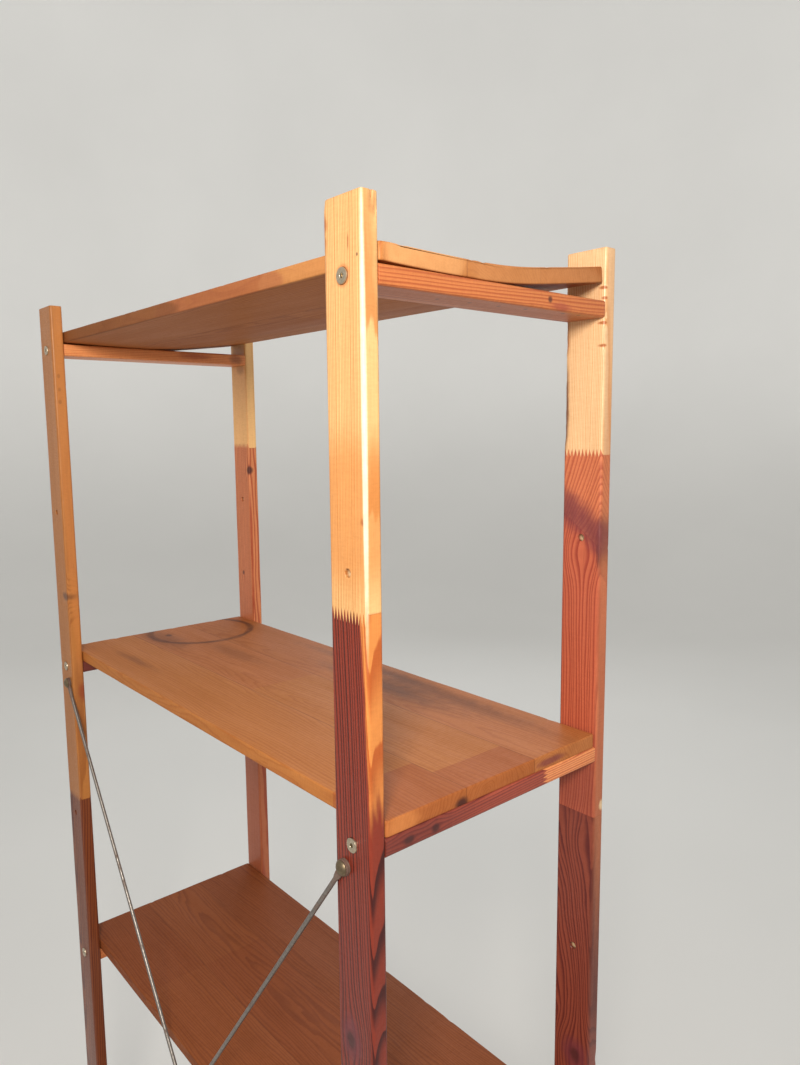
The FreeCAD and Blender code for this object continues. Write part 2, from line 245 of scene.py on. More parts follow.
def hand_finish(points, normals, seed, depth):
    """Moves a surface in and out by a slow wave: a sum of sines with seeded directions."""
    random = np.random.default_rng(seed)
    wave = np.zeros(points.shape[:-1])
    for _ in range(7):
        direction = random.normal(size=3) * [0.045, 0.045, 0.02]
        wave += np.sin(points @ direction + random.uniform(0, 2 * math.pi))
    return points + normals * (wave / 7 * depth)[..., None]


def dented(points, normals, dents):
    """Pushes a surface in at each dent: its depth times a bell curve of distance over reach."""
    for place, reach, depth in dents:
        distance = np.linalg.norm((points - np.array(place)) / np.array(reach), axis=-1)
        points = points - normals * (depth * np.exp(-distance**2))[..., None]
    return points


def carried(axes, low, high, outline, stations, insets):
    """An outline carried along a box: a grid of points and their outward normals.

    axes gives the numbers of the across, up and along axes. insets say how far the outline
    draws in at each station, across and up.
    """
    points, outward = outline
    size, middle = high - low, (high + low) / 2
    grid = np.zeros((len(stations), len(points), 3))
    normals = np.zeros_like(grid)
    for number, (axis, inset) in enumerate(zip(axes, insets)):
        half = size[axis] / 2
        grid[..., axis] = middle[axis] + points[None, :, number] * ((half - inset) / half)[:, None]
        normals[..., axis] = outward[None, :, number]
    grid[..., axes[2]] = (low[axes[2]] + stations)[:, None]
    return grid, normals


def timber(name, axes, low, high, radii, steps, seed, dents=(), wave=0.22):
    """A rounded rectangle carried along its length, drawn in at both ends by a quarter circle.

    radii are of the long edges and of the ends. steps are how finely the outline is divided
    across and up, and how far apart the stations are.
    """
    across, up, along = axes
    size = high - low
    edge_radius, end_radius = radii
    outline = rounded_outline(size[across], size[up], edge_radius, steps[:2])
    stations, inset = end_rounding(size[along], end_radius, steps[2])
    grid, normals = carried(axes, low, high, outline, stations, (inset, inset))
    grid = hand_finish(grid, normals, seed, wave)
    grid = dented(grid, normals, dents)
    return skin(name, grid)


def turned(name, profile, centre, axis, steps=40, sides=None):
    """A profile of (radius, distance along the axis) turned about an axis through centre.

    sides, if given, is a hexagon share for each point: 1 makes that ring a hexagon whose
    half-width across the flats is the radius, and 0 leaves it round.
    """
    profile = np.array(profile, float)
    turn = np.arange(steps) * 2 * math.pi / steps
    sector = math.pi / 3
    hexagon = 1 / np.cos((turn % sector) - sector / 2)
    share = np.zeros(len(profile)) if sides is None else np.array(sides, float)
    radius = profile[:, :1] * (1 + share[:, None] * (hexagon[None] - 1))
    first = Vector(axis).orthogonal().normalized()
    second = Vector(axis).cross(first)
    ring = np.cos(turn)[:, None] * np.array(first) + np.sin(turn)[:, None] * np.array(second)
    grid = np.array(centre) + profile[:, 1][:, None, None] * np.array(axis) + radius[..., None] * ring
    return skin(name, grid)


def drilling(centre, axis, radius, low, high, steps=28):
    """A plain cutter along an axis between two distances from its centre."""
    profile = [(radius, low), (radius, high)]
    return turned("drill", profile, centre, axis, steps)


def bolt_hole_cutter(place, face_side, thickness, seated):
    """A bolt's hole through a post, with worn lips, or a crushed seat for the head."""
    lip = HOLE_RADIUS + WORN_LIP
    inner = [(lip + 1, -thickness - 1), (lip, -thickness), (HOLE_RADIUS, -thickness + 0.6)]
    if seated:
        outer = [(HOLE_RADIUS, -SEAT_DEPTH), (SEAT_RADIUS - 0.3, -SEAT_DEPTH)]
        outer += [(SEAT_RADIUS, -SEAT_DEPTH + 0.3), (SEAT_RADIUS + 0.1, 0.0), (SEAT_RADIUS + 0.4, 1)]
    else:
        outer = [(HOLE_RADIUS, -0.5), (lip, 0.0), (lip + 1, 1.0)]
    return turned("drill", inner + outer, place, (0, face_side, 0), 36)


def bored(piece, cutters):
    """A timber with its holes cut and its shading set."""
    cut(piece, cutters)
    shade_smooth(piece)
    return piece


def make_post(x_name, y_name, dents):
    """A post with its seven holes, every second one for a bolt, and a rear post's screw holes."""
    low, high = node_box(f"post_{y_name}_{x_name}")
    side = Y_SIDES[y_name]
    seed = 11 + 2 * X_SIDES[x_name] + 5 * side
    steps = (16, 6, 4.0)
    radii = (POST_EDGE_RADIUS, POST_END_RADIUS)
    piece = timber(f"{y_name}_{x_name}_post", (0, 1, 2), low, high, radii, steps, seed, dents)
    centre_x = (low[0] + high[0]) / 2
    outer_y = high[1] if side > 0 else low[1]
    cutters = []
    for number in range(HOLE_COUNT):
        place = (centre_x, outer_y, FIRST_HOLE + number * HOLE_PITCH)
        cutters.append(bolt_hole_cutter(place, side, high[1] - low[1], number % 2 == 0))
    if y_name == "rear":
        for level in (1, 3):
            height = bolt_height(level) - EYE_BELOW_BOLT
            place = (X_SIDES[x_name] * EYE_X, outer_y, height)
            cutters.append(drilling(place, (0, -side, 0), SCREW_RADIUS + 0.05, -1, SCREW_LENGTH - 3))
    return bored(piece, cutters)


def make_rail(level, x_name):
    """A rail with a bore in each end for its bolt and a hole from above for each nut."""
    low, high = node_box(f"rail_{level}_{x_name}")
    radii = (RAIL_EDGE_RADIUS, RAIL_END_RADIUS)
    seed = 60 + 2 * level + X_SIDES[x_name]
    piece = timber(f"{x_name}_rail_{level}", (2, 0, 1), low, high, radii, (6, 16, 4.0), seed, wave=0.15)
    centre = (low + high) / 2
    cutters = []
    for side in Y_SIDES.values():
        end = np.array([centre[0], side * high[1], centre[2]])
        cutters.append(drilling(end, (0, -side, 0), RAIL_BORE_RADIUS, -1, RAIL_BORE_DEPTH))
        place = (centre[0], side * NUT_Y, high[2])
        cutters.append(drilling(place, (0, 0, -1), NUT_HOLE_RADIUS, -1, NUT_HOLE_DEPTH))
    # A bore and its nut hole cross, so each is cut on its own
    for cutter in cutters[1:]:
        cut(piece, [cutter])
    return bored(piece, cutters[:1])


def bolt_height(level):
    """The height of a level's bolts. Levels are counted from the floor."""
    return FIRST_HOLE + 2 * HOLE_PITCH * (level - 1)


def cup_line(along):
    """The cupped underside for distances along it from its low line: height, y and slope angle.

    Three tangent arcs: one behind the low line, a tighter bend in front of it, then a nearly
    straight run.
    """
    bend_angle = math.asin(CUP_BEND_WIDTH / CUP_BEND_RADIUS)
    bend_length = CUP_BEND_RADIUS * bend_angle
    rear = along < 0
    bend = (along >= 0) & (along < bend_length)
    angle = np.where(rear, along / CUP_REAR_RADIUS, along / CUP_BEND_RADIUS)
    angle = np.where(rear | bend, angle, bend_angle + (along - bend_length) / CUP_FRONT_RADIUS)
    radius = np.where(rear, CUP_REAR_RADIUS, np.where(bend, CUP_BEND_RADIUS, CUP_FRONT_RADIUS))
    step = CUP_FRONT_RADIUS - CUP_BEND_RADIUS
    past = ~(rear | bend)
    centre_y = CUP_LOW_Y - np.where(past, step * math.sin(bend_angle), 0.0)
    centre_z = radius.astype(float)
    centre_z[past] = CUP_BEND_RADIUS + step * math.cos(bend_angle)
    return centre_z - radius * np.cos(angle), centre_y + radius * np.sin(angle), angle


def make_board(level):
    """A board. The top one's points are carried over onto the cupped line, square to it."""
    low, high = node_box(f"shelf_board_{level}")
    dents = board_dents(level)
    if level == TOP_LEVEL:
        low, high = low.copy(), high.copy()
        flat_low, flat_high = node_box("shelf_board_1")
        low[1], high[1] = flat_low[1], flat_high[1]
        low[2] = bolt_height(TOP_LEVEL) + RAIL_HALF_THICKNESS + CUP_GAP
        high[2] = low[2] + flat_high[2] - flat_low[2]
    across, up, along = 1, 2, 0
    size = high - low
    outline = rounded_outline(size[across], size[up], BOARD_EDGE_RADIUS, (78, 4))
    stations, corner_inset = end_rounding(size[along], BOARD_CORNER_RADIUS, 5.0, 8)
    edge_inset = np.clip(BOARD_EDGE_RADIUS - stations, 0, None)
    edge_inset = np.maximum(edge_inset, edge_inset[::-1])
    edge_inset = BOARD_EDGE_RADIUS - np.sqrt(np.clip(BOARD_EDGE_RADIUS**2 - edge_inset**2, 0, None))
    insets = (corner_inset, edge_inset)
    grid, normals = carried((across, up, along), low, high, outline, stations, insets)
    grid = hand_finish(grid, normals, 90 + level, 0.18)
    grid = dented(grid, normals, dents)
    if level == TOP_LEVEL:
        height, y, angle = cup_line(grid[..., across] - CUP_LOW_Y)
        lift = grid[..., up] - low[2]
        grid[..., across] = y - lift * np.sin(angle)
        grid[..., up] = low[2] + height + lift * np.cos(angle)
    piece = skin(f"board_{level}", grid)
    shade_smooth(piece)
    return piece


def board_dents(level):
    """Knocks along a board's long edges and ends: seeded places on the upper arris."""
    random = np.random.default_rng(300 + level)
    low, high = node_box(f"shelf_board_{level}")
    top = bolt_height(level) + RAIL_HALF_THICKNESS + BOARD_THICKNESS
    dents = []
    for _ in range(9):
        y = random.choice([low[1], high[1]])
        place = (random.uniform(low[0], high[0]), y, top)
        dents.append((place, random.uniform(2, 7, 3), random.uniform(0.3, 0.8)))
    for _ in range(5):
        place = (random.choice([low[0], high[0]]), random.uniform(low[1], high[1]), top)
        dents.append((place, random.uniform(2, 5, 3), random.uniform(0.4, 1.0)))
    return dents


def make_bolt(place, side):
    """A flat-headed bolt with a hexagon socket, turned in one profile from tip to socket floor."""
    seat = abs(place[1]) - BOLT_HEAD_THICKNESS
    tip = BOLT_TIP_Y - seat
    head, face = BOLT_HEAD_RADIUS, BOLT_HEAD_THICKNESS
    floor = face - BOLT_SOCKET_DEPTH
    flat = BOLT_SOCKET_APOTHEM
    profile = [(2.2, tip), (BOLT_RADIUS, tip + 0.8), (BOLT_RADIUS, -0.2), (BOLT_RADIUS + 0.2, 0.0)]
    profile += [(head - 0.25, 0.0), (head, 0.25), (head, face - 0.45), (head - 0.15, face - 0.15)]
    profile += [(head - 0.5, face), (head - 1.5, face + 0.04), (flat + 1.0, face + 0.04)]
    profile += [(flat + 0.55, face - 0.05), (flat, face - 0.5), (flat, floor), (flat * 0.5, floor - 0.35)]
    sides = [0.0] * 12 + [1.0, 1.0, 0.3]
    centre = (place[0], side * seat, place[2])
    return turned("bolt", profile, centre, (0, side, 0), 48, sides)


def make_bolts(level):
    """A level's four bolts."""
    face_y = node_box(f"connector_bolts_{level}")[1][1]
    pieces = []
    for side in Y_SIDES.values():
        for x_side in X_SIDES.values():
            place = (x_side * BOLT_X, side * face_y, bolt_height(level))
            pieces.append(make_bolt(place, side))
    piece = together(f"bolts_{level}", pieces)
    shade_smooth(piece, 30)
    return piece


def eye_centre(x_side, level):
    """The middle of the rod eye that sits under a level's rear bolt."""
    return np.array([x_side * EYE_X, EYE_Y, bolt_height(level) - EYE_BELOW_BOLT])


def make_rod(x_side, bow_side):
    """A brace rod: a section carried from one eye to the other.

    The section is a superellipse. In the eye its half-width follows the eye's circle and it is
    flat; along the taper it turns round. The rod bows by a hyperbola that is highest at the crossing.
    """
    upper, lower = eye_centre(x_side, 3), eye_centre(-x_side, 1)
    length = np.linalg.norm(lower - upper)
    down = (lower - upper) / length
    across = np.cross(down, [0, 1, 0])
    turn = np.linspace(0.03, math.pi * 0.65, 22)
    near = np.concatenate([-EYE_RADIUS * np.cos(turn), np.linspace(5, NECK_LENGTH, 5)])
    near = np.concatenate([near, np.linspace(NECK_LENGTH, NECK_LENGTH + TAPER_LENGTH, 9)[1:]])
    middle = np.linspace(near[-1], length - near[-1], 120)[1:-1]
    station = np.concatenate([near, middle, length - near[::-1]])
    from_end = np.minimum(station, length - station)
    inside = np.clip(EYE_RADIUS**2 - from_end**2, 0.01, None)
    rounding = smooth_step((from_end - NECK_LENGTH) / TAPER_LENGTH)
    half_width = np.maximum(np.sqrt(inside), np.where(from_end > 0, NECK_HALF_WIDTH, 0))
    half_width = half_width + (ROD_RADIUS - half_width) * rounding
    half_thickness = EYE_THICKNESS / 2 + (ROD_RADIUS - EYE_THICKNESS / 2) * rounding
    power = 2 / (7 - 5 * rounding)
    angle = np.arange(32) * 2 * math.pi / 32
    cosine, sine = np.cos(angle)[None], np.sin(angle)[None]
    wide = np.sign(cosine) * np.abs(cosine) ** power[:, None] * half_width[:, None]
    thick = np.sign(sine) * np.abs(sine) ** power[:, None] * half_thickness[:, None]
    share = np.sqrt((station / length * 2 - 1) ** 2 + 0.0002)
    bow = ROD_BOW * bow_side * (1 - share) * (from_end > 0)
    line = upper + station[:, None] * down + bow[:, None] * np.array([0, 1, 0])
    grid = line[:, None] + wide[..., None] * across + thick[..., None] * np.array([0, 1, 0])
    piece = skin("rod_outer" if bow_side < 0 else "rod_inner", grid)
    for eye in (upper, lower):
        cut(piece, [drilling(eye, (0, 1, 0), SCREW_BORE_RADIUS, -5, 5)])
    shade_smooth(piece)
    return piece


def brace_places():
    """The four screws' places on the rear posts' outer faces."""
    return [eye_centre(x_side, level) for level in (1, 3) for x_side in X_SIDES.values()]


def make_washers():
    """Four flat washers: a small rounded section turned about each screw, closed both ways."""
    outer, inner, thick, soft = WASHER_RADIUS, SCREW_BORE_RADIUS, WASHER_THICKNESS, 0.3
    section = [(inner, 0), (outer - soft, 0), (outer, soft), (outer, thick - soft)]
    section += [(outer - soft, thick), (inner + 0.2, thick), (inner, thick - 0.2)]
    section = np.array(section, float)
    turn = np.arange(48) * 2 * math.pi / 48
    post_face = node_box("post_rear_right")[0][1]
    pieces = []
    for eye in brace_places():
        base = np.array([eye[0], post_face, eye[2]])
        x = section[:, 0] * np.cos(turn)[:, None]
        z = section[:, 0] * np.sin(turn)[:, None]
        y = np.broadcast_to(-section[:, 1], x.shape)
        pieces.append(skin("washer", base + np.stack([x, y, z], -1), joined=True))
    piece = together("washers", pieces)
    shade_smooth(piece, 30)
    return piece


def make_screws():
    """Four domed screws: a shank with a point, and a head whose top is an arc of a circle."""
    rise = SCREW_HEAD_HEIGHT - SCREW_HEAD_RIM
    ball = (SCREW_HEAD_RADIUS**2 + rise**2) / (2 * rise)
    edge = math.asin(SCREW_HEAD_RADIUS / ball)
    sweep = np.linspace(edge, 0.02, 14)
    dome = np.stack([ball * np.sin(sweep), SCREW_HEAD_HEIGHT - ball * (1 - np.cos(sweep))], -1)
    radius = SCREW_RADIUS
    shank = [(0.3, -SCREW_LENGTH), (radius, -SCREW_LENGTH + 4), (radius, 0), (SCREW_HEAD_RADIUS - 0.3, 0)]
    shank += [(SCREW_HEAD_RADIUS, 0.3), (SCREW_HEAD_RADIUS, SCREW_HEAD_RIM - 0.1)]
    profile = np.vstack([shank, dome])
    pieces = []
    for eye in brace_places():
        seat = (eye[0], eye[1] - EYE_THICKNESS / 2, eye[2])
        pieces.append(turned("screw", profile, seat, (0, -1, 0), 48))
    piece = together("screws", pieces)
    shade_smooth(piece, 32)
    return piece


# ---------------------------------------------------------------- shading helpers


def paint(red, green, blue):
    """A screen colour from 0 to 255 as linear light."""
    shares = np.array([red, green, blue]) / 255
    linear = np.where(shares <= 0.04045, shares / 12.92, ((shares + 0.055) / 1.055) ** 2.4)
    return (*linear.tolist(), 1)


class Wiring:
    """Adds nodes to one node tree. An input takes a number, a tuple or another node's output."""

    def __init__(self, tree):
        self.tree = tree

    def add(self, kind, values, **settings):
        node = self.tree.nodes.new(kind)
        for key, setting in settings.items():
            setattr(node, key, setting)
        for key, value in dict(values).items():
            self.feed(value, node.inputs[key])
        return node

    def feed(self, value, socket):
        if isinstance(value, bpy.types.NodeSocket):
            self.tree.links.new(value, socket)
        else:
            socket.default_value = value

    def math(self, operation, *values):
        return self.add("ShaderNodeMath", enumerate(values), operation=operation).outputs[0]

    def times(self, first, second):
        return self.math("MULTIPLY", first, second)

    def plus(self, first, second):
        return self.math("ADD", first, second)

    def minus(self, first, second):
        return self.math("SUBTRACT", first, second)

    def vector(self, operation, *values):
        node = self.add("ShaderNodeVectorMath", enumerate(values), operation=operation)
        return node.outputs["Value" if operation in ("LENGTH", "DOT_PRODUCT") else "Vector"]

    def scaled(self, vector, amount):
        return self.add("ShaderNodeVectorMath", {0: vector, "Scale": amount}, operation="SCALE").outputs[0]

    def split(self, vector):
        return self.add("ShaderNodeSeparateXYZ", {0: vector}).outputs

    def combined(self, x, y, z):
        return self.add("ShaderNodeCombineXYZ", {0: x, 1: y, 2: z}).outputs[0]

    def step(self, value, low, high, to_low=0, to_high=1):
        """to_low below low, to_high above high, and a smooth S between."""
        values = {"Value": value, "From Min": low, "From Max": high, "To Min": to_low, "To Max": to_high}
        return self.add("ShaderNodeMapRange", values, interpolation_type="SMOOTHSTEP").outputs[0]

    def line(self, value, low, high, to_low=0, to_high=1):
        values = {"Value": value, "From Min": low, "From Max": high, "To Min": to_low, "To Max": to_high}
        return self.add("ShaderNodeMapRange", values).outputs[0]

    def blend(self, amount, first, second, kind="MIX"):
        values = {0: amount, 6: first, 7: second}
        return self.add("ShaderNodeMix", values, data_type="RGBA", blend_type=kind).outputs[2]

    def noise(self, point, scale, detail, rough=0.5, output="Fac"):
        """Noise with one scale, or with a tuple of one for each axis."""
        if isinstance(scale, tuple):
            point, scale = self.vector("MULTIPLY", point, scale), 1
        values = {"Vector": point, "Scale": scale, "Detail": detail, "Roughness": rough}
        return self.add("ShaderNodeTexNoise", values).outputs[output]

    def effect(self, tree, *values):
        """Places a shared group with its inputs in order: its outputs by name, or its only one."""
        node = self.add("ShaderNodeGroup", {}, node_tree=tree)
        for value, socket in zip(values, node.inputs):
            self.feed(value, socket)
        return node.outputs if len(node.outputs) > 1 else node.outputs[0]


def new_group(name, outputs, vectors, numbers="", result="NodeSocketFloat"):
    """An empty shader group: its wiring, its inputs and its output node's sockets.

    The names of the outputs, the vector inputs and the number inputs are set apart by commas.
    """
    tree = bpy.data.node_groups.new(name, "ShaderNodeTree")
    sockets = [(vectors, "INPUT", "NodeSocketVector"), (numbers, "INPUT", "NodeSocketFloat")]
    for names, way, kind in sockets + [(outputs, "OUTPUT", result)]:
        for key in filter(None, names.split(", ")):
            tree.interface.new_socket(key, in_out=way, socket_type=kind)
    wire = Wiring(tree)
    return wire, wire.add("NodeGroupInput", {}).outputs, wire.add("NodeGroupOutput", {}).inputs


def growth_rings():
    """A tree's yearly rings on any cut of its wood, with the grain along Z.

    The distance from a leaning pith line, pushed about by stretched noise and divided by the
    ring spacing. Each ring darkens slowly and ends sharply. Heart is 1 inside the heart radius.
    """
    numbers = "Spacing, Wobble, Heart radius"
    wire, given, out = new_group("growth rings", "Summer, Heart", "Point, Pith, Lean", numbers)
    point = given["Point"]
    slow = wire.noise(point, (0.022, 0.022, 0.0035), 1, 0.5, "Color")
    quick = wire.noise(point, (0.09, 0.09, 0.014), 2, 0.5, "Color")
    push = wire.vector("ADD", wire.scaled(slow, 1), wire.scaled(quick, 0.22))
    push = wire.vector("SUBTRACT", push, (0.61, 0.61, 0.61))
    moved = wire.vector("ADD", point, wire.scaled(push, given["Wobble"]))
    from_pith = wire.vector("SUBTRACT", moved, given["Pith"])
    rise = wire.split(from_pith)[2]
    from_line = wire.vector("SUBTRACT", from_pith, wire.scaled(given["Lean"], rise))
    distance = wire.vector("LENGTH", wire.vector("MULTIPLY", from_line, (1, 1, 0)))
    years = wire.math("DIVIDE", distance, given["Spacing"])
    uneven = wire.noise(wire.combined(years, 0, 0), 0.45, 1)
    years = wire.plus(years, wire.times(uneven, 1.6))
    share = wire.math("FRACT", years)
    dark = wire.step(share, 0.35, 0.86)
    sharp_end = wire.step(share, 0.93, 1, 1, 0)
    ragged = wire.math("MULTIPLY_ADD", wire.split(quick)[0], 5, -2.5)
    depth = wire.plus(distance, ragged)
    edge = wire.minus(given["Heart radius"], depth)
    wire.feed(wire.times(dark, sharp_end), out["Summer"])
    wire.feed(wire.step(edge, -0.8, 0.8), out["Heart"])
    return wire.tree


def wood_fibre():
    """Fine fibres, pores, and a slow tone with ripples across it: noise stretched along Z."""
    wire, given, out = new_group("wood fibre", "Fibre, Pores, Tone", "Point")
    fibre = wire.noise(given["Point"], (1.3, 1.3, 0.012), 3, 0.6)
    pores = wire.noise(given["Point"], (2.4, 2.4, 0.09), 1, 0.5)
    tone = wire.noise(given["Point"], (0.03, 0.03, 0.004), 3, 0.55)
    ripple = wire.noise(given["Point"], (0.13, 0.13, 0.5), 2, 0.6)
    tone = wire.plus(tone, wire.math("MULTIPLY_ADD", ripple, 0.7, -0.35))
    wire.feed(wire.line(fibre, 0.3, 0.7), out["Fibre"])
    wire.feed(wire.step(pores, 0.62, 0.72), out["Pores"])
    wire.feed(wire.line(tone, 0.25, 0.75), out["Tone"])
    return wire.tree


def knot_pull():
    """Lets the grain part around a knot: near its middle, points are read from nearer to it."""
    wire, given, out = new_group("knot pull", "Point", "Point, Centre, Size", "Pull", "NodeSocketVector")
    offset = wire.vector("SUBTRACT", given["Point"], given["Centre"])
    distance = wire.vector("LENGTH", wire.vector("DIVIDE", offset, given["Size"]))
    bell = wire.math("EXPONENT", wire.times(wire.math("POWER", distance, 2), -0.5))
    back = wire.scaled(offset, wire.times(bell, given["Pull"]))
    wire.feed(wire.vector("SUBTRACT", given["Point"], back), out["Point"])
    return wire.tree


def blotch():
    """A patch about a centre: 1 inside an ellipsoid and 0 outside, with a soft and ragged edge."""
    wire, given, out = new_group("blotch", "Mask", "Point, Centre, Size", "Soft, Ragged")
    offset = wire.vector("DIVIDE", wire.vector("SUBTRACT", given["Point"], given["Centre"]), given["Size"])
    distance = wire.vector("LENGTH", offset)
    rough = wire.noise(given["Point"], 0.07, 3, 0.6)
    push = wire.times(wire.minus(rough, 0.5), given["Ragged"])
    distance = wire.plus(distance, push)
    high = wire.plus(1, given["Soft"])
    low = wire.minus(1, given["Soft"])
    wire.feed(wire.step(distance, low, high, 1, 0), out["Mask"])
    return wire.tree


def ring_mark():
    """A round mark left by a pot: a band at a radius from a centre, within 8 mm of its height."""
    wire, given, out = new_group("ring mark", "Mask", "Point, Centre", "Radius, Width")
    offset = wire.vector("SUBTRACT", given["Point"], given["Centre"])
    flat = wire.vector("LENGTH", wire.vector("MULTIPLY", offset, (1, 1, 0)))
    rough = wire.noise(given["Point"], 0.03, 3, 0.6)
    from_line = wire.math("ABSOLUTE", wire.minus(flat, given["Radius"]))
    from_line = wire.plus(from_line, wire.math("MULTIPLY_ADD", rough, 12, -6))
    line = wire.step(from_line, wire.times(given["Width"], 0.2), given["Width"], 1, 0)
    depth = wire.math("ABSOLUTE", wire.split(offset)[2])
    line = wire.times(line, wire.step(depth, 4, 8, 1, 0))
    wire.feed(wire.times(line, wire.step(rough, 0.25, 0.6, 0.45, 1)), out["Mask"])
    return wire.tree


def finger_joint():
    """Two lengths glued end to end with pointed fingers: 1 beyond a zigzag across the timber."""
    numbers = "Along, Across, Place, Length, Pitch, Slant"
    wire, given, out = new_group("finger joint", "Beyond, Glue", "", numbers)
    teeth = wire.math("FRACT", wire.math("DIVIDE", given["Across"], given["Pitch"]))
    zigzag = wire.math("ABSOLUTE", wire.minus(teeth, 0.5))
    zigzag = wire.minus(wire.times(zigzag, 2), 0.5)
    boundary = wire.math("MULTIPLY_ADD", zigzag, given["Length"], given["Place"])
    boundary = wire.math("MULTIPLY_ADD", given["Across"], given["Slant"], boundary)
    beyond = wire.minus(given["Along"], boundary)
    wire.feed(wire.step(beyond, -0.25, 0.25), out["Beyond"])
    wire.feed(wire.step(wire.math("ABSOLUTE", beyond), 0.3, 1.1, 1, 0), out["Glue"])
    return wire.tree


def edge_rub():
    """1 along a timber's edges, found from its middle and half size, and broken up by noise.

    The second smallest of the three distances to its faces is small only near an edge.
    """
    wire, given, out = new_group("edge rub", "Rub", "Point, Middle, Half", "Reach")
    offset = wire.vector("ABSOLUTE", wire.vector("SUBTRACT", given["Point"], given["Middle"]))
    x, y, z = wire.split(wire.vector("SUBTRACT", given["Half"], offset))
    least = wire.math("MINIMUM", wire.math("MINIMUM", x, y), z)
    most = wire.math("MAXIMUM", wire.math("MAXIMUM", x, y), z)
    total = wire.plus(wire.plus(x, y), z)
    second = wire.minus(total, wire.plus(least, most))
    rough = wire.noise(given["Point"], (0.2, 0.2, 0.05), 3, 0.6)
    reach = wire.times(given["Reach"], wire.line(rough, 0.35, 0.65, 0.2, 1.5))
    wire.feed(wire.step(second, 0, reach, 1, 0), out["Rub"])
    return wire.tree


def steel_wear():
    """Rust blooms, fine scratches and dull spots on bare steel."""
    wire, given, out = new_group("steel wear", "Rust, Scratch, Dull", "Point")
    bloom = wire.noise(given["Point"], 0.06, 4, 0.65)
    scratch = wire.noise(given["Point"], (3, 3, 0.3), 2, 0.6)
    dull = wire.noise(given["Point"], 0.35, 3, 0.6)
    wire.feed(wire.step(bloom, 0.52, 0.68), out["Rust"])
    wire.feed(wire.line(scratch, 0.3, 0.7), out["Scratch"])
    wire.feed(wire.line(dull, 0.3, 0.7), out["Dull"])
    return wire.tree


RINGS = growth_rings()
FIBRE = wood_fibre()
KNOT_PULL = knot_pull()
BLOTCH = blotch()
RING_MARK = ring_mark()
FINGERS = finger_joint()
EDGE_RUB = edge_rub()
STEEL_WEAR = steel_wear()


def new_material(name):
    """A material with a Principled shader: its wiring, the shader and the point in millimetres."""
    material = bpy.data.materials.new(name)
    material.use_nodes = True
    tree = material.node_tree
    shader = tree.nodes["Principled BSDF"]
    wire = Wiring(tree)
    place = wire.add("ShaderNodeTexCoord", {}).outputs["Object"]
    point = wire.add("ShaderNodeMapping", {"Vector": place, "Scale": (1 / MM, 1 / MM, 1 / MM)}).outputs[0]
    return material, wire, shader, point


# What glue lines, rubbed edges and dull spots take from the colour under them
GLUE_TINT = (0.62, 0.5, 0.45, 1)
RUB_TINT = (0.72, 0.62, 0.55, 1)
DULL_TINT = (0.45, 0.42, 0.4, 1)

# How far in from an edge the varnish is rubbed
RUB_REACH = 3.2

# How rough the varnish is and how much it reflects
BATTEN_GLOSS, BATTEN_SHINE = 0.36, 0.3
BOARD_GLOSS, BOARD_SHINE = 0.58, 0.14


def stock(pith, lean, spacing, wobble, pale, dark, heart=0, heart_pale=None, heart_dark=None, lines=1):
    """One length of timber: where its pith runs, how its rings lie, and its colours."""
    return {
        "pith": pith, "lean": lean, "spacing": spacing, "wobble": wobble, "heart": heart,
        "pale": pale, "dark": dark, "heart_pale": heart_pale or pale, "heart_dark": heart_dark or dark,
        "lines": lines,
    }


def stock_colour(wire, grain, length):
    """The colour of one length of timber and its summerwood mask."""
    layout = [length[key] for key in ("pith", "lean", "spacing", "wobble", "heart")]
    rings = wire.effect(RINGS, grain, *layout)
    summer = wire.times(rings["Summer"], length["lines"])
    sapwood = wire.blend(summer, length["pale"], length["dark"])
    heartwood = wire.blend(summer, length["heart_pale"], length["heart_dark"])
    return wire.blend(rings["Heart"], sapwood, heartwood), summer


def varnish(wire, shader, colour, height, grain, gloss, shine):
    """The wood's surface: fibre tone, gloss that varies and raised grain under thin varnish."""
    fibre = wire.effect(FIBRE, grain)
    colour = wire.blend(wire.line(fibre["Fibre"], 0, 1, 0, 0.22), colour, (0.62, 0.5, 0.42, 1), "MULTIPLY")
    colour = wire.blend(wire.line(fibre["Tone"], 0, 1, 0, 0.44), colour, (0.72, 0.66, 0.6, 1), "MULTIPLY")
    colour = wire.blend(wire.times(fibre["Pores"], 0.25), colour, (0.5, 0.38, 0.32, 1), "MULTIPLY")
    rough = wire.line(fibre["Tone"], 0, 1, gloss - 0.06, gloss + 0.1)
    rough = wire.plus(rough, wire.times(fibre["Fibre"], 0.08))
    height = wire.plus(wire.times(height, 0.6), wire.times(fibre["Fibre"], 0.5))
    height = wire.minus(height, wire.times(fibre["Pores"], 0.4))
    bump = wire.add("ShaderNodeBump", {"Strength": 0.45, "Distance": 0.00022, "Height": height})
    wire.feed(colour, shader.inputs["Base Color"])
    wire.feed(rough, shader.inputs["Roughness"])
    wire.feed(bump.outputs[0], shader.inputs["Normal"])
    shader.inputs["Specular IOR Level"].default_value = shine
    shader.inputs["Coat Weight"].default_value = shine * 0.4
    shader.inputs["Coat Roughness"].default_value = 0.28


def grain_point(wire, point, along):
    """The point with its grain axis turned to Z."""
    x, y, z = wire.split(point)
    if along == "x":
        return wire.combined(y, z, x)
    if along == "y":
        return wire.combined(x, z, y)
    return wire.combined(x, y, z)


def add_marks(wire, point, colour, marks):
    """Lays patches over a colour. Each is (centre, size, softness, raggedness, colour, strength)."""
    for centre, size, soft, ragged, tint, strength in marks:
        mask = wire.effect(BLOTCH, point, centre, size, soft, ragged)
        colour = wire.blend(wire.times(mask, strength), colour, tint)
    return colour


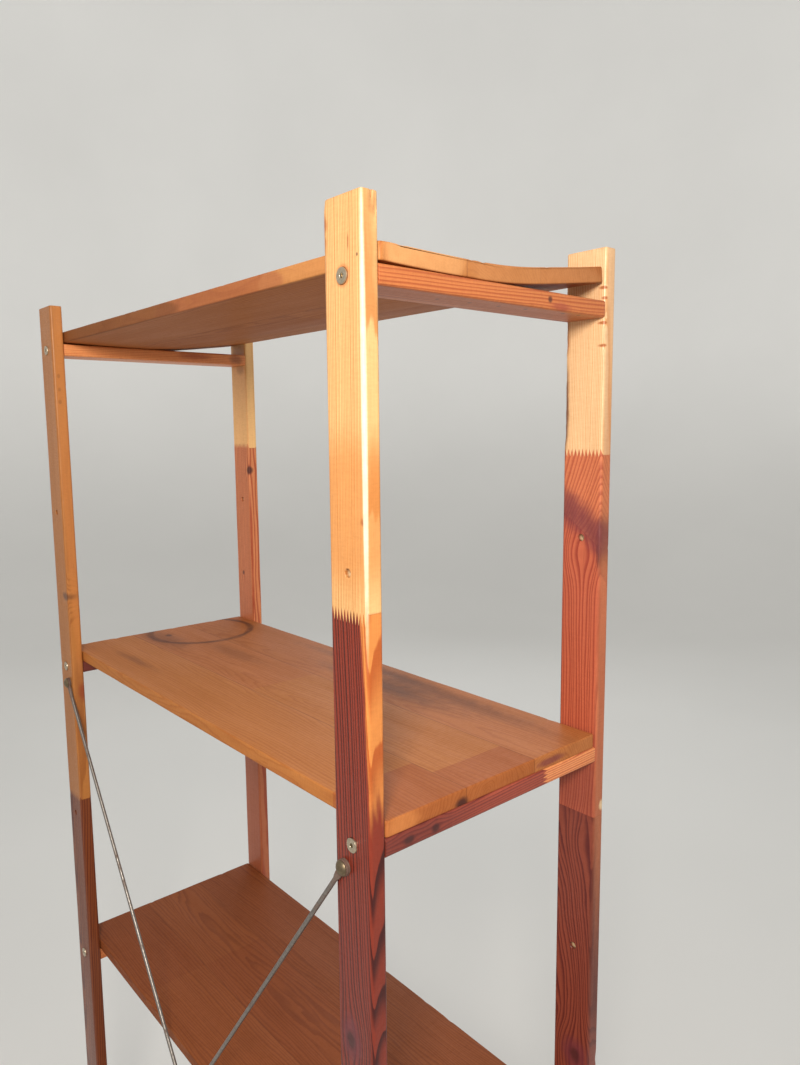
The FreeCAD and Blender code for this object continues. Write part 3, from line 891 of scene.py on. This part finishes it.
def add_knots(wire, point, knots):
    """Parts the grain around each knot, given as (centre, size, pull)."""
    for centre, size, pull in knots:
        point = wire.effect(KNOT_PULL, point, centre, size, pull)
    return point


def joined_pine(name, along, across, lengths, joints, knots, marks, box):
    """Timber made of lengths joined end to end, lowest first.

    joints are (place, finger length, pitch, slant). across and along name the axes of the fingers.
    """
    material, wire, shader, point = new_material(name)
    axes = dict(zip("xyz", wire.split(point)))
    bent = add_knots(wire, point, knots)
    grain = grain_point(wire, bent, along)
    colour, height = stock_colour(wire, grain, lengths[0])
    for length, (place, finger, pitch, slant) in zip(lengths[1:], joints):
        next_colour, next_height = stock_colour(wire, grain, length)
        joint = wire.effect(FINGERS, axes[along], axes[across], place, finger, pitch, slant)
        colour = wire.blend(joint["Beyond"], colour, next_colour)
        colour = wire.blend(wire.times(joint["Glue"], 0.35), colour, GLUE_TINT, "MULTIPLY")
        height = wire.add("ShaderNodeMix", {0: joint["Beyond"], 2: height, 3: next_height}).outputs[0]
    colour = add_marks(wire, point, colour, marks)
    low, high = box
    middle, half = tuple((low + high) / 2), tuple((high - low) / 2)
    rub = wire.effect(EDGE_RUB, point, middle, half, RUB_REACH)
    colour = wire.blend(wire.times(rub, 0.4), colour, RUB_TINT, "MULTIPLY")
    varnish(wire, shader, colour, height, grain, BATTEN_GLOSS, BATTEN_SHINE)
    return material


def panel_pine(level, pale, dark, patches, seed, marks=(), ring=None):
    """A board glued up from three staves, each with its own rings and tone.

    The stave's number is how many of the two joints lie behind a point. patches are (stave
    number, first x, last x, colour, strength): stretches of a stave from another tree.
    """
    material, wire, shader, point = new_material(f"board pine {level}")
    x, y = wire.split(point)[:2]
    first = wire.math("GREATER_THAN", y, STAVE_JOINTS[0])
    second = wire.math("GREATER_THAN", y, STAVE_JOINTS[1])
    number = wire.plus(first, second)
    key = wire.plus(wire.times(number, 7.31), seed)
    pick = wire.add("ShaderNodeTexWhiteNoise", {"W": key}, noise_dimensions="1D").outputs["Color"]
    shift = wire.vector("MULTIPLY", wire.vector("SUBTRACT", pick, (0.5, 0.5, 0.5)), (500, 160, 60))
    moved = wire.vector("ADD", point, shift)
    grain = grain_point(wire, moved, "x")
    middle_z = bolt_height(level) + RAIL_HALF_THICKNESS + BOARD_THICKNESS / 2
    pith = (0, middle_z - 38, 0)
    length = stock(pith, (0.01, 0.03, 0), 3.6, 26, pale, dark, lines=0.55)
    colour, height = stock_colour(wire, grain, length)
    for stave, low, high, tint, strength in patches:
        inside = wire.math("COMPARE", number, float(stave), 0.25)
        inside = wire.times(inside, wire.step(x, low - 0.6, low + 0.6))
        inside = wire.times(inside, wire.step(x, high - 0.6, high + 0.6, 1, 0))
        colour = wire.blend(wire.times(inside, strength), colour, tint, "MULTIPLY")
    for joint in STAVE_JOINTS:
        gap = wire.math("ABSOLUTE", wire.minus(y, joint))
        line = wire.step(gap, 0.2, 0.9, 0.45, 0)
        colour = wire.blend(line, colour, paint(90, 45, 25))
    if ring is not None:
        centre, radius, width, tint = ring
        mask = wire.effect(RING_MARK, point, centre, radius, width)
        colour = wire.blend(wire.times(mask, 0.85), colour, tint)
    colour = add_marks(wire, point, colour, marks)
    varnish(wire, shader, colour, height, grain, BOARD_GLOSS, BOARD_SHINE)
    return material


def steel(name, bright, rust, rust_amount, rough, rust_near=()):
    """Old bare steel: a grey that dulls in places, with scratches and rust blooms."""
    material, wire, shader, point = new_material(name)
    wear = wire.effect(STEEL_WEAR, point)
    rusty = wire.times(wear["Rust"], rust_amount)
    for centre, size in rust_near:
        near = wire.effect(BLOTCH, point, centre, size, 0.7, 1.6)
        rusty = wire.math("MAXIMUM", rusty, wire.times(near, 0.75))
    dull = wire.blend(wire.times(wear["Dull"], 0.5), bright, DULL_TINT, "MULTIPLY")
    wire.feed(wire.blend(rusty, dull, rust), shader.inputs["Base Color"])
    wire.feed(wire.minus(1, rusty), shader.inputs["Metallic"])
    roughness = wire.line(wear["Dull"], 0, 1, rough - 0.08, rough + 0.1)
    roughness = wire.plus(roughness, wire.times(rusty, 0.35))
    wire.feed(roughness, shader.inputs["Roughness"])
    height = wire.plus(wire.times(wear["Scratch"], 0.4), wire.times(rusty, 0.8))
    bump = wire.add("ShaderNodeBump", {"Strength": 0.4, "Distance": 0.00015, "Height": height})
    wire.feed(bump.outputs[0], shader.inputs["Normal"])
    return material


# ---------------------------------------------------------------- this unit's wood

# Marks, knots and joints are placed in the frame's axes. A post's sides are at x 353 and 405
# from the middle. The rear posts' outer face is at y -175 and the front posts' inner face at 157.

STAVE_JOINTS = (-53, 50)

HONEY, HONEY_DARK = paint(238, 190, 128), paint(204, 134, 72)
AMBER, AMBER_DARK = paint(226, 144, 74), paint(190, 98, 42)
CREAM, CREAM_DARK = paint(246, 208, 160), paint(226, 166, 108)
RED_HEART, RED_HEART_DARK = paint(142, 54, 34), paint(66, 18, 14)
SALMON, SALMON_DARK = paint(196, 102, 72), paint(150, 56, 42)
TAN, TAN_DARK = paint(254, 206, 140), paint(238, 164, 96)
OLIVE, OLIVE_DARK = paint(189, 123, 62), paint(157, 92, 41)
PURPLE = paint(118, 54, 62)
KNOT_DARK = paint(66, 34, 34)
BRUISE = paint(176, 98, 48)
BROWN = paint(112, 62, 44)
RAW_WOOD = paint(238, 212, 168)


def hole_linings(x_side, y_side):
    """Raw, unvarnished wood inside a post's spare holes."""
    marks = []
    for number in range(1, HOLE_COUNT, 2):
        centre = (x_side * BOLT_X, y_side * POST_Y, FIRST_HOLE + number * HOLE_PITCH)
        marks.append((centre, (HOLE_RADIUS + 1.7, 11, HOLE_RADIUS + 1.7), 0.3, 0.5, BROWN, 0.6))
        marks.append((centre, (HOLE_RADIUS + 0.5, 11, HOLE_RADIUS + 0.5), 0.1, 0.1, RAW_WOOD, 0.9))
    return marks


def rear_right_wood(box):
    """Honey pine over dark red heartwood with a strip of sapwood down the outer corner."""
    upper = stock((250, -168, 1500), (0.01, 0, 0), 2.3, 5, HONEY, HONEY_DARK, lines=0.85)
    lower = stock((328.7, -157, 1300), (-0.042, 0, 0), 3.6, 4, AMBER, AMBER_DARK, 70.5,
                  RED_HEART, RED_HEART_DARK)
    foot = stock((430, -230, 300), (0.01, 0.02, 0), 2.6, 9, RED_HEART, RED_HEART_DARK)
    knots = [((373, -166, 904), (16, 30, 26), 0.75), ((405, -175, 640), (18, 30, 30), 0.6)]
    marks = [
        ((381, -168, 1402), (60, 60, 64), 0.35, 0.1, paint(214, 134, 64), 0.6),
        ((373, -175, 904), (13, 14, 21), 0.5, 0.8, PURPLE, 0.8),
        ((372, -175, 902), (6, 14, 9), 0.4, 0.8, KNOT_DARK, 0.85),
        ((387, -175, 1626), (0.9, 3, 6), 0.5, 0.3, BRUISE, 0.8),
        ((399, -175, 1614), (1.2, 2, 1.5), 0.4, 0.2, KNOT_DARK, 0.7),
        ((353, -175, 1645), (5, 3, 7), 0.6, 1, BRUISE, 0.9),
        ((353, -175, 1628), (4, 3, 9), 0.6, 1.2, BRUISE, 0.8),
        ((353, -175, 1606), (3, 3, 14), 0.6, 1.2, BRUISE, 0.6),
        ((401, -175, 1396), (2.2, 3, 3), 0.6, 0.4, BRUISE, 0.9),
        ((405, -163, 1655), (3, 5, 9), 0.6, 1, BRUISE, 0.4),
        ((BOLT_X, -175, 1600), (9, 2, 9), 0.25, 0.2, AMBER_DARK, 0.6),
        # A cream line down the upper length's outer corner is a painted highlight.
        ((403.9, -173.9, 1488), (2.6, 2.6, 178), 0.35, 0.15, paint(255, 240, 212), 0.85),
        ((379, -166, 900), (80, 60, 200), 0.8, 0.3, paint(84, 34, 34), 0.2),
    ] + hole_linings(1, -1)
    joints = [(520, 11, 4.6, 0), (1312, 12.5, 4.4, 0)]
    return joined_pine("rear right pine", "z", "x", [foot, lower, upper], joints, knots, marks, box)


def front_right_wood(box):
    """Cream pine, then a slanting purple band, over red-orange wood with wavy rings and whorls."""
    upper = stock((300, 175, 1500), (0.01, 0, 0), 2.2, 5, CREAM, CREAM_DARK, lines=0.75)
    orange = stock((300, 240, 1430), (0.55, 0.2, 0), 3.4, 7, paint(212, 124, 84), paint(168, 76, 52),
                   lines=0.7)
    lower = stock((318, 190, 1300), (0.02, 0.03, 0), 3.4, 13, SALMON, SALMON_DARK, lines=0.85)
    foot = stock((352, 186, 900), (0.03, 0.12, 0), 3.2, 20, paint(144, 70, 52), paint(100, 38, 34))
    knots = [((400, 157, 985), (20, 40, 26), 0.85), ((385, 157, 708), (24, 40, 34), 0.8)]
    knots += [((382, 157, 1332), (17, 40, 20), 0.85), ((362, 157, 800), (16, 40, 40), 0.6)]
    marks = [
        ((405, 166, 1345), (5, 30, 32), 0.4, 0.6, KNOT_DARK, 0.7),
        # The inner face is darker just under the middle board: painted shade.
        ((379, 157, 1062), (60, 60, 50), 0.6, 0.3, paint(120, 56, 46), 0.45),
        ((405, 166, 860), (4, 12, 150), 0.5, 0.3, paint(104, 52, 40), 0.75),
        ((385, 157, 708), (17, 14, 20), 0.5, 0.7, PURPLE, 0.75),
        ((385, 157, 708), (7, 14, 9), 0.5, 0.7, KNOT_DARK, 0.7),
        ((353, 157, 1495), (6, 8, 46), 0.4, 0.8, BROWN, 0.9),
        ((353, 157, 1576), (5, 6, 22), 0.6, 1.4, BRUISE, 0.8),
        ((405, 170, 1550), (3, 11, 140), 0.5, 0.2, BRUISE, 0.35),
        ((405, 168, 1180), (3.2, 11, 280), 0.4, 0.2, paint(200, 122, 80), 0.6),
        ((405, 172, 1035), (4, 5, 6), 0.4, 0.5, RAW_WOOD, 0.8),
    ] + hole_linings(1, 1)
    for x, drop in ((355, 0), (365, 5), (375, 12), (385, 18), (395, 27), (404, 36)):
        marks.append(((x, 157, 1386 - drop), (10, 30, 19), 0.6, 0.7, PURPLE, 0.62))
    for height, reach in ((1623, 8), (1612, 5), (1586, 9), (1562, 7)):
        marks.append(((405, 157, height), (reach, 4, 1.8), 0.4, 0.9, BRUISE, 0.9))
    joints = [(1023, 0, 5.2, 0), (1640, 0, 4.4, -0.74), (1446, 9, 4.8, 0)]
    lengths = [foot, lower, orange, upper]
    return joined_pine("front right pine", "z", "x", lengths, joints, knots, marks, box)


def front_left_wood(box):
    """Tan pine over salmon-red wood."""
    upper = stock((-480, 160, 1500), (0, 0, 0), 2.2, 5, TAN, TAN_DARK, lines=0.7)
    lower = stock((-430, 195, 1200), (0.02, 0.03, 0), 2.8, 9, paint(222, 142, 94), paint(180, 86, 52))
    knots = [((-357, 157, 1404), (14, 20, 16), 0.6), ((-384, 157, 1212), (10, 20, 12), 0.6)]
    marks = [
        ((-353, 157, 1404), (7, 8, 7), 0.4, 0.5, KNOT_DARK, 0.85),
        ((-384, 157, 1212), (3.5, 6, 4), 0.4, 0.5, KNOT_DARK, 0.75),
        ((-372, 157, 1585), (12, 6, 9), 0.6, 1.2, BROWN, 0.35),
        ((-381, 166, 300), (60, 60, 800), 0.3, 0.2, paint(150, 74, 52), 0.6),
    ] + hole_linings(-1, 1)
    joints = [(1448, 9, 4.8, 0)]
    return joined_pine("front left pine", "z", "x", [lower, upper], joints, knots, marks, box)


def rear_left_wood(box):
    """Olive-gold pine, reddish towards the floor, with a band of knots half way."""
    upper = stock((-470, -170, 1500), (0.005, 0, 0), 2.4, 6, OLIVE, OLIVE_DARK, lines=0.7)
    lower = stock((-395, -215, 900), (0.01, 0.03, 0), 3, 9, paint(134, 72, 39), paint(98, 42, 26))
    knots = [((-372, -172, 1217), (22, 30, 16), 0.7)]
    golden = paint(204, 132, 71)
    marks = [
        ((-353, -163, 1440), (3, 9.5, 330), 0.25, 0.2, golden, 0.75),
        ((-362, -170, 1217), (12, 12, 6), 0.5, 0.9, KNOT_DARK, 0.7),
        ((-355, -160, 1060), (5, 8, 14), 0.5, 0.9, paint(150, 66, 34), 0.8),
    ] + hole_linings(-1, -1)
    for height in (1560, 1540, 1521):
        marks.append(((-353, -168, height), (2, 2.2, 3), 0.6, 0.9, KNOT_DARK, 0.3))
    joints = [(880, 10, 4.6, 0)]
    return joined_pine("rear left pine", "z", "x", [lower, upper], joints, knots, marks, box)


def rail_wood(level, x_name, box):
    """A rail's pine: orange at even levels and red at odd ones. The third left rail is darker, and the top
    left rail is paler, which is painted light.
    """
    side = X_SIDES[x_name]
    random = np.random.default_rng(400 + 3 * level + side)
    centre = (box[0] + box[1]) / 2
    pith = (centre[0] + random.uniform(-30, 30), centre[2] - random.uniform(35, 70), 0)
    orange, orange_dark = paint(208, 126, 72), paint(172, 84, 44)
    red, red_dark = paint(166, 78, 58), paint(112, 42, 38)
    pale, dark = (orange, orange_dark) if level % 2 == 0 else (red, red_dark)
    if side < 0 and level == 3:
        pale, dark = paint(130, 62, 44), paint(88, 34, 30)
    # The top left rail takes a paler copy of the orange: painted light where less lamp light reaches it.
    if side < 0 and level == 4:
        pale, dark = paint(248, 168, 104), paint(222, 120, 70)
    first = stock(pith, (0.01, 0.02, 0), 2.4, 7, pale, dark, lines=0.8)
    marks, knots, lengths, joints = [], [], [first], []
    if level == 4:
        outer = side * 405
        for y in (-70, -31, 6, 42, 96, 120):
            marks.append(((side * (388 + y / 12), y, 1591), (2, 2.4, 1.6), 0.4, 0.4, KNOT_DARK, 0.7))
        marks.append(((outer, 64, 1601), (6, 3, 3), 0.5, 0.5, KNOT_DARK, 0.8))
        marks.append(((outer, 82, 1595), (6, 14, 4), 0.5, 0.6, red, 0.7))
        marks.append(((-353, 60, 1602), (6, 26, 5), 0.6, 1, red, 0.6))
        marks.append(((-353, 140, 1600), (6, 12, 7), 0.6, 1, BROWN, 0.6))
    if level == 3:
        lengths.append(stock(pith, (0, 0.01, 0), 2.2, 7, paint(236, 154, 96), paint(196, 104, 66)))
        joints.append((67, 8, 4.5, 0))
        marks.append(((side * 395, -130, 1100), (60, 75, 40), 0.8, 0.8, paint(96, 42, 40), 0.6))
        for y, reach in ((-129, 7), (-95, 5)):
            knots.append(((side * 405, y, 1099), (20, 2 * reach, 10), 0.6))
            marks.append(((side * 405, y, 1099), (6, reach, 4), 0.5, 0.6, KNOT_DARK, 0.85))
    return joined_pine(f"rail pine {level} {x_name}", "y", "z", lengths, joints, knots, marks, box)


def board_woods():
    """The four boards' panels, from the floor up."""
    red = (0.86, 0.72, 0.78, 1)
    rust = (0.82, 0.74, 0.76, 1)
    deep = (0.84, 0.7, 0.7, 1)
    stain_and_shadow = paint(98, 56, 38)
    gold, gold_dark = paint(188, 120, 62), paint(168, 98, 47)
    brown, brown_dark = paint(146, 81, 42), paint(118, 59, 31)
    woods = {}
    patches = [(0, -410, 60, rust, 0.8), (1, 60, 410, red, 0.8), (2, -410, -150, deep, 0.7)]
    woods[1] = panel_pine(1, brown, brown_dark, patches, 3.1)
    patches = [(0, -410, -180, deep, 0.3), (1, -180, 180, deep, 0.35), (2, -410, 40, rust, 0.35)]
    woods[2] = panel_pine(2, brown, brown_dark, patches, 8.4)
    patches = [(1, -410, -4, (0.96, 0.9, 1.04, 1), 1), (2, -410, -4, (0.92, 0.86, 1, 1), 1)]
    patches += [(2, -4, 410, (0.98, 0.94, 1.1, 1), 1), (1, 355, 410, red, 1), (0, 324, 410, red, 1)]
    marks = [
        # The first three streaks are partly a stain and partly the rear right post's shadow, painted.
        ((110, 92, 1125), (105, 17, 7), 1, 1.1, stain_and_shadow, 0.7),
        ((200, 122, 1125), (130, 13, 7), 1, 1.2, stain_and_shadow, 0.55),
        ((40, 132, 1125), (140, 9, 7), 1, 1.2, stain_and_shadow, 0.55),
        ((-358, -8, 1125), (8, 5, 12), 0.5, 0.6, KNOT_DARK, 0.75),
        ((-345, -25, 1125), (70, 22, 7), 0.7, 1.2, stain_and_shadow, 0.5),
        ((-250, -113, 1125), (54, 7, 7), 0.8, 1.4, stain_and_shadow, 0.4),
        ((-180, 20, 1125), (70, 14, 7), 0.7, 1.4, stain_and_shadow, 0.3),
        ((404, -60, 1111), (4, 8, 6), 0.5, 0.6, KNOT_DARK, 0.9),
        ((404, 78, 1116), (4, 20, 4), 0.5, 0.8, PURPLE, 0.7),
        ((404, -136, 1116), (3, 20, 12), 0.4, 0.4, paint(214, 138, 78), 0.6),
    ]
    ring = ((-352, 50, 1125), 86, 9, stain_and_shadow)
    woods[3] = panel_pine(3, gold, gold_dark, patches, 5.2, marks, ring)
    patches = [(1, -410, 100, rust, 0.4), (2, 120, 410, red, 0.4)]
    edge_pine, edge_red, end_pine = paint(200, 138, 82), paint(162, 94, 62), paint(202, 140, 90)
    marks = [
        ((321, -157, 1617), (112, 4, 30), 0.04, 0.05, edge_pine, 0.8),
        ((116, -157, 1617), (150, 4, 30), 0.04, 0.05, edge_red, 0.6),
        ((-215, -157, 1617), (260, 4, 30), 0.04, 0.05, paint(126, 74, 40), 0.75),
        ((405, 50, 1622), (3.5, 110, 30), 0.15, 0.1, end_pine, 0.6),
        ((405, -104, 1620), (3.5, 49, 30), 0.15, 0.1, paint(224, 164, 108), 0.8),
    ]
    woods[4] = panel_pine(4, paint(184, 116, 60), paint(154, 88, 43), patches, 2.7, marks)
    return woods


def post_dents(x_name, y_name):
    """Knocks on a post's edges: seeded ones, then the right posts' own."""
    low, high = node_box(f"post_{y_name}_{x_name}")
    random = np.random.default_rng(200 + 3 * X_SIDES[x_name] + Y_SIDES[y_name])
    dents = []
    for _ in range(16):
        x, y = random.choice([low[0], high[0]]), random.choice([low[1], high[1]])
        corner = (x, y, random.uniform(40, 1640))
        dents.append((corner, random.uniform(2, 7, 3), random.uniform(0.3, 0.9)))
    if (x_name, y_name) == ("right", "front"):
        for height in (1623, 1615, 1586, 1560):
            dents.append(((405, 157, height), (4, 4, 3), 1.3))
        for height in np.arange(1462, 1590, 9):
            reach = (3, 3, random.uniform(4, 8))
            dents.append(((353, 157, height + random.uniform(-2, 2)), reach, random.uniform(0.6, 1.5)))
    if (x_name, y_name) == ("right", "rear"):
        dents.append(((405, -164, 1664), (2.5, 1.2, 9), 1.6))
        dents.append(((405, -160, 1650), (2.5, 1, 12), 1))
        dents.append(((353, -175, 1663), (4, 4, 4), 1.2))
    return dents


def coat(piece, material):
    """Leaves one material on a piece."""
    piece.data.materials.clear()
    piece.data.materials.append(material)


def finish_piece(piece, node, body, material):
    """Gives a piece its finish, and puts it in the place of its CAD node."""
    coat(piece, material)
    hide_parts(node)
    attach(piece, body)


def build_timber():
    """Posts, rails and boards."""
    post_woods = {("right", "rear"): rear_right_wood, ("right", "front"): front_right_wood}
    post_woods |= {("left", "rear"): rear_left_wood, ("left", "front"): front_left_wood}
    for (x_name, y_name), wood in post_woods.items():
        node = f"post_{y_name}_{x_name}"
        piece = make_post(x_name, y_name, post_dents(x_name, y_name))
        finish_piece(piece, node, "frame", wood(node_box(node)))
    for level in range(1, TOP_LEVEL + 1):
        for x_name in X_SIDES:
            node = f"rail_{level}_{x_name}"
            wood = rail_wood(level, x_name, node_box(node))
            finish_piece(make_rail(level, x_name), node, "frame", wood)
    for level, wood in board_woods().items():
        finish_piece(make_board(level), f"shelf_board_{level}", f"shelf_{level}", wood)


def build_steel():
    """Bolts, nuts, and the brace with its screws and washers."""
    bolt_steel = steel("bolt steel", paint(214, 200, 176), paint(104, 62, 36), 0.35, 0.34)
    eyes = [(tuple(eye), (26, 20, 26)) for eye in brace_places()]
    rod_steel = steel("rod steel", paint(150, 144, 138), paint(98, 62, 42), 0.5, 0.4, eyes)
    screw_steel = steel("screw steel", paint(140, 124, 100), paint(104, 74, 48), 0.8, 0.36)
    for level in range(1, TOP_LEVEL + 1):
        finish_piece(make_bolts(level), f"connector_bolts_{level}", "frame", bolt_steel)
        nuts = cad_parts[f"barrel_nuts_{level}"]
        coat(nuts, bolt_steel)
    finish_piece(make_rod(1, -1), "brace_rod_outer", "frame", rod_steel)
    finish_piece(make_rod(-1, 1), "brace_rod_inner", "frame", rod_steel)
    finish_piece(make_screws(), "brace_screws", "frame", screw_steel)
    finish_piece(make_washers(), "brace_washers", "frame", rod_steel)


# ---------------------------------------------------------------- floor, light and camera

# The studio is set out in metres, apart from the glow's height
BOWL_RADIUS = 9.0
BOWL_CURVE = 4.0
WALL_HEIGHT = 14.0
FLOOR_DROP = 0.0005
BACKDROP_GLOW = 0.46
GLOW_FULL_HEIGHT = 2600.0
CAMERA_PLACE = (0.92530, -0.58687, 1.47185)
CAMERA_FORWARD = Vector((-0.75041, 0.64890, -0.12575))
CAMERA_UP = Vector((-0.08916, 0.08913, 0.99202))
CAMERA_LENS = 27.0


def backdrop():
    """A flat floor that sweeps up in a wide curve: a profile turned about Z, seen from inside."""
    turn = np.arange(96) * 2 * math.pi / 96
    rise = np.linspace(0, math.pi / 2, 14)
    sweep = BOWL_RADIUS - BOWL_CURVE + BOWL_CURVE * np.sin(rise)
    radius = np.concatenate([[0.3, 2.0, 4.0], sweep, [BOWL_RADIUS]])
    height = np.concatenate([[0, 0, 0], BOWL_CURVE - BOWL_CURVE * np.cos(rise), [WALL_HEIGHT]])
    height = height - FLOOR_DROP
    x = radius[:, None] * np.cos(turn)
    y = radius[:, None] * np.sin(turn)
    z = np.broadcast_to(height[:, None], x.shape)
    points = np.stack([x, y, z], -1).reshape(-1, 3)
    count = len(turn)
    faces = grid_quads(len(radius), count)[:, ::-1].tolist()
    around = np.arange(count)
    faces += np.stack([around, (around + 1) % count, np.full(count, len(points))], -1).tolist()
    points = np.vstack([points, [0.0, 0.0, height[0]]])
    piece = mesh_piece("studio_floor", points / MM, faces)
    shade_smooth(piece)
    material, wire, shader, point = new_material("floor paint and glow")
    mottle = wire.noise(point, 0.0006, 3)
    pale = wire.blend(mottle, paint(206, 205, 202), paint(216, 215, 212))
    wire.feed(pale, shader.inputs["Base Color"])
    # The backdrop glows, more strongly higher up: painted light that also lights the unit.
    rise = wire.step(wire.split(point)[2], 0.0, GLOW_FULL_HEIGHT, 0.45, 1.0)
    wire.feed(wire.scaled(pale, rise), shader.inputs["Emission Color"])
    shader.inputs["Emission Strength"].default_value = BACKDROP_GLOW
    shader.inputs["Roughness"].default_value = 0.9
    shader.inputs["Specular IOR Level"].default_value = 0.1
    piece.data.materials.append(material)


def soft_light(name, place, target, size, power, colour):
    """A square soft box that looks at a target."""
    lamp = bpy.data.lights.new(name, "AREA")
    lamp.size = size
    lamp.energy = power
    lamp.color = colour
    light = bpy.data.objects.new(name, lamp)
    light.location = place
    light.rotation_euler = (Vector(target) - Vector(place)).to_track_quat("-Z", "Y").to_euler()
    bpy.context.scene.collection.objects.link(light)


def light_and_camera():
    """The camera, soft lights near it, above and behind the unit, and pale surroundings."""
    camera = bpy.data.objects.new("camera", bpy.data.cameras.new("camera"))
    bpy.context.scene.collection.objects.link(camera)
    camera.data.lens = CAMERA_LENS
    camera.data.clip_start = 0.05
    forward, up = CAMERA_FORWARD.normalized(), CAMERA_UP.normalized()
    right = forward.cross(up).normalized()
    up = right.cross(forward)
    turned_to = Matrix((right, up, -forward)).transposed().to_4x4()
    camera.matrix_world = Matrix.Translation(CAMERA_PLACE) @ turned_to
    bpy.context.scene.camera = camera
    key_place = Vector(CAMERA_PLACE) - right * 0.1 + up * 0.3 - forward * 0.45
    soft_light("key", key_place, (0.2, 0.0, 1.35), 0.3, 22.0, (1.0, 0.94, 0.86))
    soft_light("above", (0.3, -0.6, 3.4), (0.0, 0.0, 0.8), 2.2, 7.0, (1.0, 0.98, 0.95))
    soft_light("behind", (-2.2, 2.6, 2.6), (0.0, 0.0, 0.9), 2.0, 22.0, (0.95, 0.98, 1.0))
    world = bpy.data.worlds.new("studio")
    world.use_nodes = True
    world.node_tree.nodes["Background"].inputs["Color"].default_value = paint(226, 228, 230)
    world.node_tree.nodes["Background"].inputs["Strength"].default_value = 0.3
    bpy.context.scene.world = world
    bpy.context.scene.view_settings.view_transform = "Standard"


build_timber()
build_steel()
backdrop()
light_and_camera()
